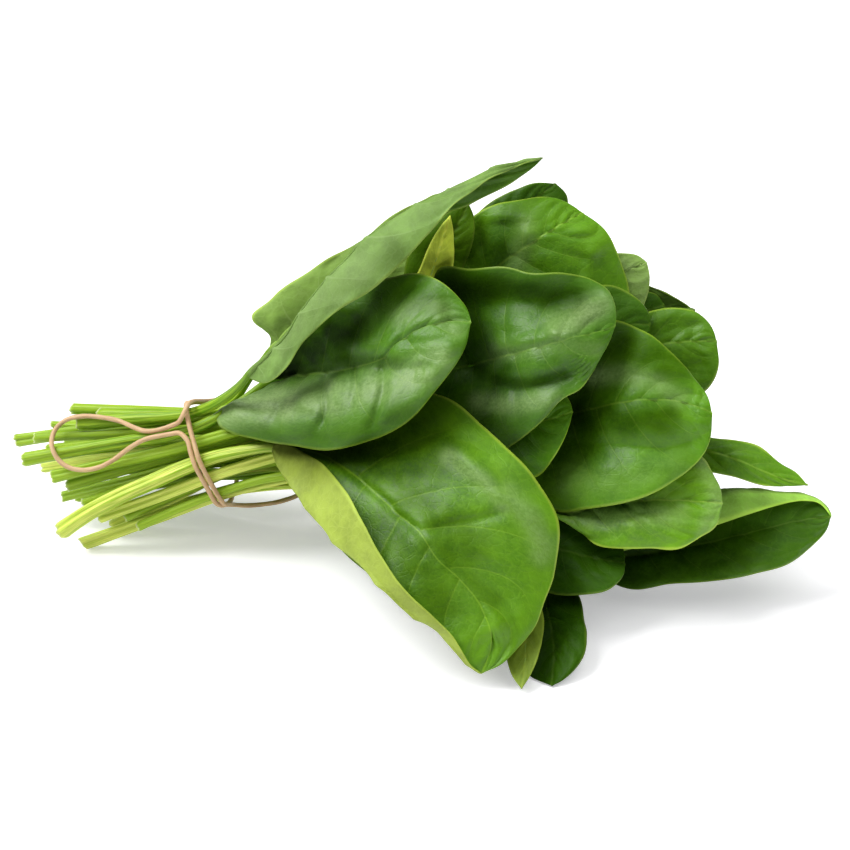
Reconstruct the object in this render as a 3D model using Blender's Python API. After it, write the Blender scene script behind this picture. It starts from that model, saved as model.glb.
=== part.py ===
"""A bunch of spinach: whole leaves on their long stalks, held by one rubber
band wound round the stalks, lying on a table.

Every leaf is one solid: the cut stalk, the thickened midrib it runs into, and
the blade.  The blades overlap like tiles, the outer ones over the inner ones,
and the stalks pack side by side under the band.

Lengths are in millimetres until the meshes are made, which are in metres.
The table is z = 0, and the bunch points along +X with its cut ends at -X.
"""

import math

import bpy
import numpy as np

# ---------------------------------------------------------------- dimensions
BLADE_T = 0.80        # blade thickness
MARGIN_T = 0.50       # and at its margin
RIB_T = 2.4           # depth of the midrib where the blade starts
GAP = 1.1             # least room between two leaves that overlap
STALK_GAP = 0.45      # room between two stalks
BAND_D = 1.7          # the rubber band's cord
BAND_GAP = 0.5        # between the band and the stalks
STALK_RINGS = 8       # rings along a stalk
BLADE_RINGS = 12      # rings along a blade

# The layout frame: a drawing board that leans back by LEAN from the vertical
# and is turned by TURN about +Z.  (a, b) are millimetres across and up the
# board, and c is how far a point stands in front of it, along the line to the
# viewpoint VIEW millimetres away.
TURN = math.radians(22.0)
LEAN = math.radians(30.0)
VIEW = 800.0
BOARD = np.array([0.0, 0.0, 58.0])
ACROSS = np.array([math.cos(TURN), math.sin(TURN), 0.0])
BACK = np.array([math.sin(TURN) * math.cos(LEAN), -math.cos(TURN) * math.cos(LEAN), math.sin(LEAN)])
UP = np.cross(BACK, ACROSS)

# The tie: the middle of the stalks under the band, on the board, and the rows
# and columns in which the stalks pack there.
TIE = (-67.2, -8.5, -36.0)
ROWS = (13.4, 8.1, 2.7, -2.7, -8.1, -13.4)
COLS = ((-8.0, 8.0), (-13.4, 13.4), (-14.5, 14.5), (-14.5, 14.5), (-13.4, 13.4), (-8.0, 8.0))
IN_ROW = (4, 6, 6, 6, 6, 4)


def place(p):
    """Board coordinates (a, b, c) to world millimetres."""
    p = np.asarray(p, float)
    q = BOARD + p[..., 0:1] * ACROSS + p[..., 1:2] * UP
    return q + (BOARD + VIEW * BACK - q) * (p[..., 2:3] / VIEW)


def board(w):
    """World millimetres to board coordinates: place, the other way."""
    w = np.asarray(w, float)
    c = (w - BOARD) @ BACK
    q = (w - (BOARD + VIEW * BACK) * (c[..., None] / VIEW)) / (1 - c[..., None] / VIEW) - BOARD
    return np.stack([q @ ACROSS, q @ UP, c], axis=-1)


# ------------------------------------------------------------------- splines
def hermite(x, p, t):
    """Cubic through p at knots x, with three-point tangents, read at t."""
    x, p, t = np.asarray(x, float), np.asarray(p, float), np.asarray(t, float)
    if len(x) == 2:
        w = ((t - x[0]) / (x[1] - x[0]))[:, None]
        return p[0] * (1 - w) + p[1] * w
    h = np.diff(x)[:, None]
    s = np.diff(p, axis=0) / h
    m = np.empty_like(p)
    m[1:-1] = (s[:-1] * h[1:] + s[1:] * h[:-1]) / (h[:-1] + h[1:])
    m[0] = 1.5 * s[0] - 0.5 * m[1]
    m[-1] = 1.5 * s[-1] - 0.5 * m[-2]
    i = np.clip(np.searchsorted(x, t, side="right") - 1, 0, len(x) - 2)
    hh = h[i]
    w = (t[:, None] - x[i][:, None]) / hh
    return (
        (2 * w**3 - 3 * w**2 + 1) * p[i]
        + (w**3 - 2 * w**2 + w) * hh * m[i]
        + (-2 * w**3 + 3 * w**2) * p[i + 1]
        + (w**3 - w**2) * hh * m[i + 1]
    )


def spline(points, t):
    """A smooth curve through the points, read at t (0..1 of its length)."""
    p = np.asarray(points, float)
    x = np.concatenate([[0.0], np.cumsum(np.linalg.norm(np.diff(p, axis=0), axis=1) + 1e-6)])
    return hermite(x / x[-1], p, t)


# -------------------------------------------------------------------- leaves
# Each leaf, outermost first: where its blade starts (base) and ends (tip) on
# the board, with the height c of both; the rails of the blade between them,
# from the margin on the left hand of someone looking along the leaf to its
# tip (-1), over the midrib (0), to the other margin (1), as (a, b) or, where
# the blade leaves its plain slope, (a, b, extra height); and how it stands:
#   arch  how far the middle of its length bows out
#   roll  slope across the blade, + lifts the left side
#   curl  bending back of the two sides, in 1/mm
#   cup   bow of each half between midrib and margin, as a share of its width
#   seat  (row, column) of its stalk under the band; end: its cut end; r: the
#         stalk's radius
#   under the blade shows its underside outwards
LEAVES = []


def leaf(name, base, tip, rails, **more):
    LEAVES.append(dict(name=name, base=base, tip=tip, rails=rails, **more))


def plain_leaf(name, base, tip, face, left, right, arch=0.0, lobe=0.09, shoulder=0.36, bow=0.0, back=0.05, **more):
    """A leaf with a plain spinach outline, set out in the world: it runs
    from base to tip, its upper side looks towards face, left and right are
    its greatest half-widths, arch bows its length out towards face, bow
    bends it to the left and back bends its two sides away from face."""
    b, t = np.array(base, float), np.array(tip, float)
    long = np.linalg.norm(t - b)
    along = (t - b) / long
    out = np.array(face, float)
    out -= along * (out @ along)
    out /= np.linalg.norm(out)
    side = np.cross(out, along)
    rails = {}
    for v, w in ((-1.0, left), (-0.5, left), (0.0, 0.0), (0.5, -right), (1.0, -right)):
        if v == 0.0:
            steps = [(0.25, 0), (0.5, 0), (0.75, 0)]
        elif abs(v) == 1:
            steps = [(-0.35 * lobe, 0.28), (-lobe, 0.62), (0.06, 0.93), (shoulder, 1.0), (0.62, 0.90), (0.82, 0.62), (0.95, 0.30)]
        else:
            steps = [(0.0, 0.16), (0.06, 0.34), (0.2, 0.49), (0.42, 0.5), (0.65, 0.44), (0.83, 0.30), (0.96, 0.13)]
        pts = []
        for s, k in steps:
            c = min(max(s, 0.0), 1.0)
            lift = arch * 4 * c * (1 - c) - back * abs(w) * (2 * k) ** 2 / 4
            pts.append(b + along * long * s + side * (w * k + bow * math.sin(math.pi * c)) + out * lift)
        rails[v] = [tuple(q) for q in pts]
    ends = board(np.array([b, t]))
    lines = {v: np.vstack([ends[:1], board(np.array(r)), ends[1:]]) for v, r in rails.items()}
    LEAVES.append(dict(name=name, base=tuple(ends[0]), tip=tuple(ends[1]), lines=lines, cup=(0.0, 0.0), **more))


leaf("leaf_top_folded", (-59, 16.3, -9), (39.3, 88.7, -8),
     {-1.0: [(-50, 24, -3), (-40, 34, -4), (-25, 49, -5), (-8, 62, -5), (6, 70.5, -5), (15.7, 73.7, -4), (22.7, 77.3, -3), (31.7, 82.3, -2)],
      0.0: [(-50, 25), (-35, 45), (-21.7, 60), (-5, 71.7), (10, 79), (25, 86.2)],
      1.0: [(-53.7, 14, 2), (-46.3, 18.7, 4), (-39.3, 28.7, 5), (-27.3, 39, 6), (-17.3, 45.3, 6), (-6.7, 55, 6), (1.7, 64.3, 6), (10, 73.3, 5), (17, 78.6, 4), (26, 84, 2)]},
     arch=15, cup=(0.0, 0.10), seat=(0, 0), end=(-115.3, -0.5), r=2.3, under=True)
leaf("leaf_left_blistered", (-53.7, 14, -14), (15.3, 34.5, 18),
     {-1.0: [(-50, 20), (-42, 29), (-33, 39), (-24, 46), (-10.7, 49.3), (-3.7, 50.7), (2.3, 49.3), (9.7, 44.3), (13.9, 39)],
      0.0: [(-45.3, 16, -2), (-37, 17, -3), (-23.7, 19.3, -3), (-15, 22, -3), (-7, 29, -2), (2.3, 33.5, -1)],
      1.0: [(-58, 12.0, 3), (-64, 7.6, 7), (-69, 3.9, 9), (-68.9, 0, 10), (-65, -2.8, 9), (-57, -4.9, 6), (-45.3, -7, 3), (-33.3, -8.3), (-21.3, -6.3), (-12.7, -3.3), (-3.7, 2.7), (4, 11.7), (9.7, 19.3), (14.3, 27.5)]},
     arch=8, roll=-0.32, curl=-0.003, cup=(0.02, 0.16), seat=(1, 0), end=(-133.5, -11.5), r=2.2)
leaf("leaf_front_large", (-51, -7.3, -12), (19, -82.7, 32),
     {-1.0: [(-42, 1), (-32, 6), (-20, 11), (-8, 12.8), (3.7, 10.3), (12, 6), (20.3, -1), (28.7, -9.3), (37, -17.7), (41.3, -24), (44, -31.7), (44.7, -39.3), (43.3, -49.7), (40, -58.3), (37, -67.3), (30.7, -75), (25, -80)],
      0.0: [(-34.3, -10), (-26, -15), (-18.3, -21), (-11, -28), (-2, -35.7), (4.3, -45), (12, -52), (18.3, -60), (22, -70)],
      0.7: [(-47.7, -14.3), (-42, -22), (-35.7, -30.3), (-29.3, -38.7), (-21, -47), (-12, -56.7), (-4, -63.7), (4.3, -69.3), (9.7, -74.3), (14, -79.5)],
      1.0: [(-50.3, -6.7, 1), (-45.3, -6.7, 2), (-40.3, -9.3, 3), (-33.7, -13.3, 5), (-28.7, -19, 6), (-24.3, -25.3, 7), (-19.7, -34.3, 7), (-13.3, -45.7, 6), (-5.7, -56, 5), (2.7, -63.7, 4), (9, -70, 3), (12.6, -75.7, 2), (16, -80.5, 1)]},
     arch=16, roll=-0.05, curl=-0.002, cup=(0.06, 0.04), seat=(3, 0), end=(-120.3, -34.7), r=2.9,
     cols=(-1.0, -0.66, -0.33, 0.0, 0.3, 0.55, 0.7, 0.84, 1.0))
leaf("leaf_middle_blistered", (4, 18, 2), (63.6, 33.3, 18),
     {-1.0: [(2, 26), (1, 36), (1.7, 45), (4.3, 51.7), (15, 52), (26.7, 52.7), (35, 50.7), (46.3, 50.7), (55.3, 49), (60.7, 45.3), (63.5, 39)],
      0.0: [(15, 20), (25, 22.7), (35.7, 25.3), (49.3, 29.3), (57.7, 31)],
      1.0: [(1, 8), (4, -3), (12, -10), (21, -11), (28.3, -7.3), (39.7, 1.7), (47.7, 9.3), (50.7, 11), (56, 17.3), (60.7, 25.3)]},
     arch=14, roll=-0.18, curl=-0.004, cup=(-0.05, 0.14), seat=(2, 0), end=(-124.3, -17.3), r=2.1)
leaf("leaf_small_middle", (8, 4, -2), (49.3, 4.5, 14),
     {-1.0: [(10, 9), (20, 13.5), (32, 14.5), (43, 12.5), (48, 8.5)],
      0.0: [(20, 1), (35, 0.5)],
      1.0: [(8, -2), (14, -12), (25, -17.5), (38.3, -16.7), (42.7, -11.3), (47.7, -1.7)]},
     arch=6, roll=-0.1, curl=-0.006, cup=(0.05, 0.05), seat=(2, 1), end=(-118.7, -20.3), r=1.9)
leaf("leaf_right_large", (24, 0, 0), (95.8, 4, 18),
     {-1.0: [(25, 7), (32, 16), (43, 27), (54, 33.5), (63.7, 34.7), (70, 32.7), (75.7, 30), (81.7, 24.3), (88.7, 17.7), (93.3, 11.7)],
      0.0: [(38, 1), (54, 5), (71.7, 8.3), (88, 7)],
      1.0: [(25, -8), (31.7, -19), (38, -26), (44, -29), (53.7, -28), (67.7, -25.7), (74.7, -23.3), (81.7, -19.7), (88.7, -15), (93.3, -9.3), (95.7, -2.7)]},
     arch=13, roll=-0.1, curl=-0.004, cup=(0.10, 0.05), seat=(3, 1), end=(-113.3, -26.7), r=2.4)
leaf("leaf_right_crinkled", (34, -22, 0), (99.4, -26, 16),
     {-1.0: [(38, -14), (50, -8), (66, -5), (82, -6), (93, -11), (95.7, -15.3), (98.7, -21)],
      0.0: [(44.5, -29), (58.3, -26.7), (78.3, -25), (92, -25.5)],
      1.0: [(35, -27), (42, -30.5), (46.7, -32.5), (54, -39), (65.3, -41.3), (75.7, -41.7), (85, -41), (92.3, -37.7), (97.3, -32.7)]},
     arch=8, roll=-0.1, curl=-0.005, cup=(0.08, 0.12), seat=(4, 0), end=(-109.7, -29.5), r=2.0)
leaf("leaf_low_small", (30, -32, 4), (66.8, -46, 10),
     {-1.0: [(34, -29), (45, -30), (57, -33), (65, -38)],
      0.0: [(42, -40), (55, -44)],
      1.0: [(28, -38), (32, -48), (42, -56), (51.7, -56.7), (63.3, -53.7), (66.4, -50)]},
     arch=5, roll=-0.3, curl=-0.004, cup=(0.08, 0.08), seat=(4, 1), end=(-100, -31), r=1.7)
leaf("leaf_drooping_pale", (31, -52, 14), (32.3, -88, 33),
     {-1.0: [(36, -56), (39.5, -64), (38.5, -74), (35.4, -82.7)],
      0.0: [(33, -66), (33.5, -78)],
      1.0: [(28, -58), (25.5, -68), (27, -77), (29.3, -84)]},
     arch=3, roll=0.0, curl=-0.01, cup=(0.05, 0.05), seat=(5, 0), end=(-95, -33.5), r=1.7, under=True)
leaf("leaf_drooping_dark", (38, -44, 4), (42, -87.6, 31),
     {-1.0: [(44, -47), (50, -54), (53.3, -64.7), (54, -70), (52.7, -77.7), (49, -82.7)],
      0.0: [(40.5, -60), (43, -75)],
      1.0: [(32, -50), (28, -60), (29, -72), (33, -81), (36, -85.6)]},
     arch=3, roll=-0.1, curl=-0.008, cup=(0.1, 0.05), seat=(5, 1), end=(-114.3, -39), r=2.2, fall=10)
plain_leaf("leaf_under", (-24, -2, 22), (46, -22, 4), (0.1, -0.5, 0.9), 17, 17, arch=-1, seat=(5, 2), end=(-98, -30), r=1.8)
leaf("leaf_right_pointed", (62, -6, -6), (127.7, -20, 8),
     {-1.0: [(66, -1), (80, 1.5), (95.7, -4), (104.3, -5), (111.7, -7.3), (119, -12.3), (124.7, -16.7)],
      0.0: [(80, -6.5, 2), (95.7, -9, 2), (104, -11.5, 2), (112, -15, 2), (119.5, -18, 1)],
      1.0: [(66, -11), (78, -15), (95, -15.8), (103, -17.5), (111.7, -19.9), (119, -20.6)]},
     arch=3, roll=-0.2, cup=(0.08, 0.05), seat=(3, 2), end=(-121, -24), r=1.8)
leaf("leaf_right_folded", (58, -44, -12), (135.3, -30.5, -6),
     {-1.0: [(66, -42, 5), (80, -38.5, 6), (96.7, -33.5, 6), (108, -29.8, 5), (117.3, -26.8, 4), (126.3, -25.3, 2), (131, -26, 1)],
      -0.7: [(64, -37, 3), (78, -28, 4), (90, -24), (99.3, -22.7), (104.3, -21.7), (115.3, -22.3), (126.3, -23.6), (132, -25.8)],
      0.0: [(72, -43, -2), (90, -40, -3), (108, -36, -3), (124, -32, -2)],
      1.0: [(59, -49), (63, -53), (67.7, -54.7), (82.7, -53), (97.3, -52), (111.7, -49.3), (122.7, -45.7), (129.7, -40), (134.3, -34.5)]},
     arch=5, roll=0.0, curl=-0.003, cup=(0.0, 0.08), seat=(4, 2), end=(-104, -34), r=2.2,
     cols=(-1.0, -0.84, -0.7, -0.35, 0.0, 0.33, 0.66, 1.0))
leaf("leaf_behind_middle", (22, 20, -5), (75.3, 33.5, 4),
     {-1.0: [(24, 27), (36, 38), (50, 45), (62.3, 46.6), (67.7, 44.5), (72.7, 41.3), (74.8, 37.5)],
      0.0: [(38, 28), (58, 33)],
      1.0: [(25, 14), (40, 12), (58, 16), (70, 24), (74.5, 29.5)]},
     arch=8, roll=-0.05, curl=-0.006, cup=(0.06, 0.06), seat=(2, 2), end=(-127, -14), r=1.9)
leaf("leaf_right_round", (46, 14, -8), (97.4, 28, 0),
     {-1.0: [(50, 22), (60, 31), (70, 36), (77, 38.7), (84, 39.4), (91, 38), (95.3, 33.7)],
      0.0: [(62, 22), (80, 27)],
      1.0: [(50, 8), (62, 5), (76, 5), (88, 7.5), (94.5, 12), (97.9, 20)]},
     arch=7, roll=-0.05, curl=-0.006, cup=(0.08, 0.08), seat=(2, 3), end=(-122, -10), r=1.9)
leaf("leaf_young_pale", (-3, 38, -6), (8.4, 69.6, -3),
     {-1.0: [(-4, 46), (-1, 54), (2.5, 61.5), (6, 67)],
      0.0: [(1, 47, 1), (4.5, 58, 1)],
      1.0: [(3, 40), (8, 48), (9.6, 55), (9.4, 63)]},
     arch=3, curl=-0.01, cup=(0.1, 0.1), seat=(1, 1), end=(-130, -3), r=1.6, under=True)
leaf("leaf_young_dark", (2, 43, -9), (14.5, 73.8, -6),
     {-1.0: [(-7, 48.5), (-6, 56), (1, 64.5), (9, 71.5)],
      0.0: [(4, 53), (9.5, 64)],
      1.0: [(8, 46), (14, 55), (16.4, 64), (16.2, 70)]},
     arch=2, curl=-0.01, cup=(0.1, 0.1), seat=(1, 2), end=(-126, -7), r=1.6)
leaf("leaf_top_round", (8, 40, -14), (52.5, 71, -10),
     {-1.0: [(7.5, 46), (7, 52), (9, 58), (12, 64.5), (16.3, 69.7), (23.7, 73.7), (31, 75.4), (40.7, 76.3), (47.5, 74.4)],
      0.0: [(20, 50), (33, 59), (44, 66)],
      1.0: [(14, 33), (26, 27), (42, 26), (56, 31), (66, 38), (67.9, 45), (66, 54), (62.5, 61), (58.5, 66.5)]},
     arch=10, roll=-0.1, curl=-0.004, cup=(0.07, 0.07), seat=(0, 1), end=(-135.3, -6.3), r=2.2)
leaf("leaf_top_behind", (6, 46, -22), (43.5, 80.6, -18),
     {-1.0: [(7, 54), (13, 66), (22, 74.5), (31, 79), (38, 80.9)],
      0.0: [(20, 60), (33, 72)],
      1.0: [(14, 42), (30, 48), (42, 60), (47.5, 70), (47.3, 77)]},
     arch=5, curl=-0.006, cup=(0.06, 0.06), seat=(1, 3), end=(-123, 1), r=1.9)
leaf("leaf_right_behind", (36, 32, -20), (73.8, 54, -16),
     {-1.0: [(38, 40), (50, 51), (60, 56.2), (66, 57), (71, 56.3)],
      0.0: [(50, 42), (64, 50)],
      1.0: [(42, 26), (56, 27), (68, 33), (73.7, 42), (74.6, 50)]},
     arch=5, curl=-0.006, cup=(0.06, 0.06), seat=(1, 4), end=(-118, 2), r=1.8, under=True)
leaf("leaf_right_tip", (50, 24, -20), (79.8, 40, -18),
     {-1.0: [(52, 32), (62, 41), (72, 45), (77.5, 43.6)],
      0.0: [(60, 31), (71, 37)],
      1.0: [(56, 18), (68, 21), (77, 28), (80.2, 35)]},
     arch=3, curl=-0.008, cup=(0.06, 0.06), seat=(2, 4), end=(-112, -8), r=1.7)
leaf("leaf_top_lobed", (-52, 24, -22), (8, 77, -20),
     {-1.0: [(-51.5, 29, 0), (-57.3, 36.3, 2), (-51.7, 41.7), (-37, 52.3), (-19.3, 63), (-12.3, 68.3), (-1.7, 74.2), (4, 76.8)],
      0.0: [(-46.3, 31), (-38.3, 38), (-25, 50), (-8.3, 65)],
      1.0: [(-46, 25), (-38, 24), (-24, 33), (-9, 47), (3, 62), (8.5, 71)]},
     arch=8, roll=-0.15, curl=-0.005, cup=(0.08, 0.05), seat=(0, 2), end=(-108, 1.5), r=2.2, under=True)
# inside the bunch, and its far side
plain_leaf("leaf_inner_upper", (2, 34, 62), (70, 40, 84), (0.3, -0.7, 0.6), 17, 17, arch=5, seat=(3, 3), end=(-106, -12), r=1.8)
plain_leaf("leaf_inner_middle", (0, 30, 44), (82, 36, 54), (0.1, -0.8, 0.5), 18, 17, arch=5, seat=(3, 4), end=(-113, -16), r=1.9)
plain_leaf("leaf_inner_lower", (4, 26, 26), (80, 26, 22), (0.1, -0.6, 0.8), 17, 17, arch=4, seat=(4, 3), end=(-116, -24), r=1.8)
plain_leaf("leaf_back_ground", (-18, 20, 14), (64, 42, 4), (0.0, 0.2, 1.0), 22, 20, arch=-3, back=-0.02, seat=(4, 4), end=(-105, -19), r=1.9)
plain_leaf("leaf_back_lower", (-8, 36, 32), (84, 54, 32), (0.0, 0.9, -0.2), 22, 20, arch=6, seat=(4, 5), end=(-114, -14), r=2.0)
plain_leaf("leaf_back_middle", (-4, 40, 44), (80, 58, 50), (0.0, 1.0, 0.1), 25, 24, arch=6, seat=(2, 5), end=(-119, -4), r=2.2)
plain_leaf("leaf_back_side", (-44, 22, 42), (12, 56, 62), (-0.3, 0.95, 0.25), 19, 20, arch=4, seat=(3, 5), end=(-107, -3), r=1.9)
plain_leaf("leaf_back_upper", (-6, 44, 58), (72, 68, 82), (0.0, 0.9, 0.35), 24, 24, arch=6, seat=(1, 5), end=(-111, 3), r=2.1)
plain_leaf("leaf_back_top", (-24, 36, 66), (38, 66, 102), (-0.3, 0.8, 0.5), 23, 24, arch=6, seat=(0, 3), end=(-117, 4.5), r=2.1)


# ------------------------------------------------------------ blade surfaces
def height(L, a, b):
    """The height c of a leaf's plain slope at a place on the board."""
    (a0, b0, c0), (a1, b1, c1) = L["base"], L["tip"]
    d = np.array([a1 - a0, b1 - b0], float)
    long = np.hypot(*d)
    d /= long
    s = ((a - a0) * d[0] + (b - b0) * d[1]) / long
    t = -(a - a0) * d[1] + (b - b0) * d[0]
    k = np.clip(s, 0.0, 1.0)
    return c0 + (c1 - c0) * s + 4 * L.get("arch", 0.0) * k * (1 - k) + L.get("roll", 0.0) * t + L.get("curl", 0.0) * t * t


def rail(L, v):
    """The points of one rail on the board, base and tip included."""
    if "lines" in L:
        return L["lines"][v]
    pts = [tuple(L["base"])]
    for p in L["rails"][v]:
        pts.append((p[0], p[1], height(L, p[0], p[1]) + (p[2] if len(p) > 2 else 0.0)))
    return np.array(pts + [tuple(L["tip"])], float)


def blade_grid(L, us, vs):
    """The middle surface of the blade on the board, at the shares us of its
    length and vs across it."""
    us, vs = np.asarray(us, float), np.asarray(vs, float)
    keys = sorted(L.get("lines") or L["rails"])
    lines = {v: spline(rail(L, v), us) for v in keys}
    out = np.zeros((len(us), len(vs), 3))
    cups = L.get("cup", (0.05, 0.05))
    for lo, hi, cup in ((-1.0, 0.0, cups[0]), (0.0, 1.0, cups[1])):
        group = [v for v in keys if lo <= v <= hi]
        mine = [j for j, v in enumerate(vs) if lo <= v <= hi]
        for i in range(len(us)):
            p = np.array([lines[v][i] for v in group])
            q = hermite(group, p, vs[mine])
            width = np.linalg.norm(p[-1] - p[0])
            share = np.abs(vs[mine])
            if len(group) == 2:
                q[:, 2] += cup * width * 4 * share * (1 - share)
            else:
                fold = max(abs(v) for v in group if abs(v) < 1)
                k = np.clip(share / fold, 0, 1)
                q[:, 2] += cup * width * 4 * k * (1 - k)
            out[i, mine] = q
    return out


def seat_at(L):
    """Where the leaf's stalk lies under the band, on the board."""
    row, col = L["seat"]
    p, n = ROWS[row], IN_ROW[row]
    q = np.linspace(COLS[row][1], COLS[row][0], n)[col]
    return np.array([TIE[0] - 0.354 * p - 0.35 * q, TIE[1] + 0.935 * p, TIE[2] + q])


def stalk_line(L, n):
    """The middle line of the stalk on the board, from its cut end to the
    blade: (points, share of the way at which it passes the band)."""
    seat, end = seat_at(L), np.array(L["end"] + (0.0,), float)
    row, col = L["seat"]
    q = np.linspace(COLS[row][1], COLS[row][0], IN_ROW[row])[col]
    end[2] = TIE[2] + (end[0] - TIE[0]) * 0.42 + q * 1.5 + L.get("fall", 0.0)
    base = np.array(L["base"], float)
    tip = spline(rail(L, 0.0), [0.06])[0]
    into = (base - tip) / np.linalg.norm(base - tip)
    gap = np.linalg.norm(base - seat)
    mid = base + into * gap * 0.35
    ahead = seat + (seat - end) / np.linalg.norm(seat - end) * gap * 0.22
    pts = [end, end * 0.5 + seat * 0.5, seat, ahead * 0.62 + mid * 0.38, ahead * 0.15 + mid * 0.85, base] if gap > 30 else [end, end * 0.5 + seat * 0.5, seat, base]
    pts = np.array(pts)
    long = np.concatenate([[0], np.cumsum(np.linalg.norm(np.diff(pts, axis=0), axis=1))])
    return spline(pts, np.linspace(0, 1, n)), long[2] / long[-1]


# ------------------------------------------------------------------ settling
# The leaves are laid from the outermost inwards.  A map of the board keeps
# the hindmost surface laid so far at each place, and each new leaf is bent
# back, smoothly, until it lies behind it with GAP to spare.
CELL = 0.8
A0, B0, NA, NB = -150.0, -105.0, 376, 263


def mid_column(G):
    """The column of a grid that lies on the midrib."""
    return {5: 2, 9: 3, 8: 4}[G.shape[1]]


def cells(p):
    return (
        np.clip(((p[..., 0] - A0) / CELL).astype(int), 0, NA - 1),
        np.clip(((p[..., 1] - B0) / CELL).astype(int), 0, NB - 1),
    )


def widen(m, n):
    """The lowest value within n cells, all round."""
    for _ in range(n):
        q = m.copy()
        q[1:] = np.minimum(q[1:], m[:-1])
        q[:-1] = np.minimum(q[:-1], m[1:])
        r = q.copy()
        r[:, 1:] = np.minimum(r[:, 1:], q[:, :-1])
        r[:, :-1] = np.minimum(r[:, :-1], q[:, 1:])
        m = r
    return m


def quads(G, d, step):
    """Points spread over every quad of a grid: their places, the quad each
    is in, and how steeply its surface stands to the line of sight."""
    nu, nv = G.shape[:2]
    P = G.copy()
    P[..., 2] -= d
    side = max(np.linalg.norm(np.diff(P, axis=0), axis=2).max(), 1.0), max(np.linalg.norm(np.diff(P, axis=1), axis=2).max(), 1.0)
    m, n = int(side[0] / step) + 2, int(side[1] / step) + 2
    fu, fv = np.linspace(0, 1, m)[:, None, None], np.linspace(0, 1, n)[None, :, None]
    pts, own, steep = [], [], []
    for i in range(nu - 1):
        for j in range(nv - 1):
            q = P[i, j] * (1 - fu) * (1 - fv) + P[i + 1, j] * fu * (1 - fv) + P[i, j + 1] * (1 - fu) * fv + P[i + 1, j + 1] * fu * fv
            x = np.cross(P[i + 1, j + 1] - P[i, j], P[i + 1, j] - P[i, j + 1])
            cos = abs(x[2]) / (np.linalg.norm(x) + 1e-9)
            pts.append(q.reshape(-1, 3))
            own.append(np.tile([i, j], (m * n, 1)))
            steep.append(np.full(m * n, min(1 / max(cos, 1e-3), 3.0)))
    return np.concatenate(pts), np.concatenate(own), np.concatenate(steep)


def tube(line, radii, d, step):
    """Points spread across a tube seen on the board: their places, the point
    of the line each belongs to, and the tube's half-depth there."""
    P = line.copy()
    P[:, 2] -= d
    long = np.concatenate([[0], np.cumsum(np.linalg.norm(np.diff(P, axis=0), axis=1))])
    t = np.linspace(0, long[-1], int(long[-1] / step) + 2)
    L = np.stack([np.interp(t, long, P[:, k]) for k in range(3)], axis=1)
    r = np.interp(t, long, radii)
    own = np.clip(np.searchsorted(long, t) - 1, 0, len(line) - 2)
    T = np.gradient(L[:, :2], axis=0)
    T /= np.linalg.norm(T, axis=1, keepdims=True) + 1e-9
    S = np.stack([-T[:, 1], T[:, 0]], axis=1)
    pts, owns, deep = [], [], []
    for w in np.linspace(-1, 1, 9):
        q = L.copy()
        q[:, :2] += S * (r * w)[:, None]
        pts.append(q)
        owns.append(own)
        deep.append(r * math.sqrt(max(1 - w * w, 0.04)))
    return np.concatenate(pts), np.concatenate(owns), np.concatenate(deep)


def smooth_over(need, rounds):
    """The least smooth bending that is everywhere at least what is needed."""
    d = need.copy()
    for _ in range(rounds):
        q = np.pad(d, 1, mode="edge")
        if d.ndim == 2:
            s = (q[:-2, 1:-1] + q[2:, 1:-1] + q[1:-1, :-2] + q[1:-1, 2:]) / 4
        else:
            s = (q[:-2] + q[2:]) / 2
        d = np.maximum(need, 0.5 * d + 0.5 * s)
    return d


def settle(items, gap=GAP, rounds=10, step=0.7, reach=2, times=3):
    """Bends each leaf back behind the blades of those laid before it, and
    its blade behind their stalks too.  An item is (grid, stalk line, stalk
    radii, rib radii); the grids and lines come back bent."""
    blades = np.full((NA, NB), 1e6)
    stalks = np.full((NA, NB), 1e6)
    out = []
    for G, line, radii, ribs in items:
        G, line = G.copy(), line.copy()
        nu, nv = G.shape[:2]
        mid = mid_column(G)
        for again in range(times):
            need = np.zeros((nu, nv))
            pts, own, steep = quads(G, np.zeros((nu, nv)), step)
            x, y = cells(pts)
            v = pts[:, 2] + steep * BLADE_T / 2 + gap - np.minimum(blades, stalks)[x, y]
            for di in (0, 1):
                for dj in (0, 1):
                    np.maximum.at(need, (own[:, 0] + di, own[:, 1] + dj), v)
            tneed = np.zeros(len(line))
            pts, own, deep = tube(line, radii, np.zeros(len(line)), step)
            x, y = cells(pts)
            v = pts[:, 2] + deep + gap * 0.5 - blades[x, y]
            for di in (0, 1):
                np.maximum.at(tneed, own + di, v)
            need, tneed = np.maximum(need, 0), np.maximum(tneed, 0)
            if max(need.max(), tneed.max()) < 0.02:
                break
            at_base = max(need[0].max(), tneed[-1])
            need[0], tneed[-1] = at_base, at_base
            d = smooth_over(need, rounds)
            e = smooth_over(tneed, rounds)
            at_base = max(d[0].max(), e[-1])
            for k, w in ((0, 1.0), (1, 0.5)):
                d[k] = np.maximum(d[k], at_base * w)
                e[-1 - k] = max(e[-1 - k], at_base * w)
            G[..., 2] -= d
            line[:, 2] -= e
        pts, own, steep = quads(G, np.zeros((nu, nv)), step)
        now = np.full((NA, NB), 1e6)
        x, y = cells(pts)
        np.minimum.at(now, (x, y), pts[:, 2] - steep * BLADE_T / 2)
        pts, own, deep = tube(G[:, mid], ribs, np.zeros(nu), step)
        x, y = cells(pts)
        np.minimum.at(now, (x, y), pts[:, 2] - deep)
        blades = np.minimum(blades, widen(now, reach))
        now = np.full((NA, NB), 1e6)
        pts, own, deep = tube(line, radii, np.zeros(len(line)), step)
        x, y = cells(pts)
        np.minimum.at(now, (x, y), pts[:, 2] - deep)
        stalks = np.minimum(stalks, widen(now, reach - 1))
        out.append((G, line, radii, ribs))
    return out


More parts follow.
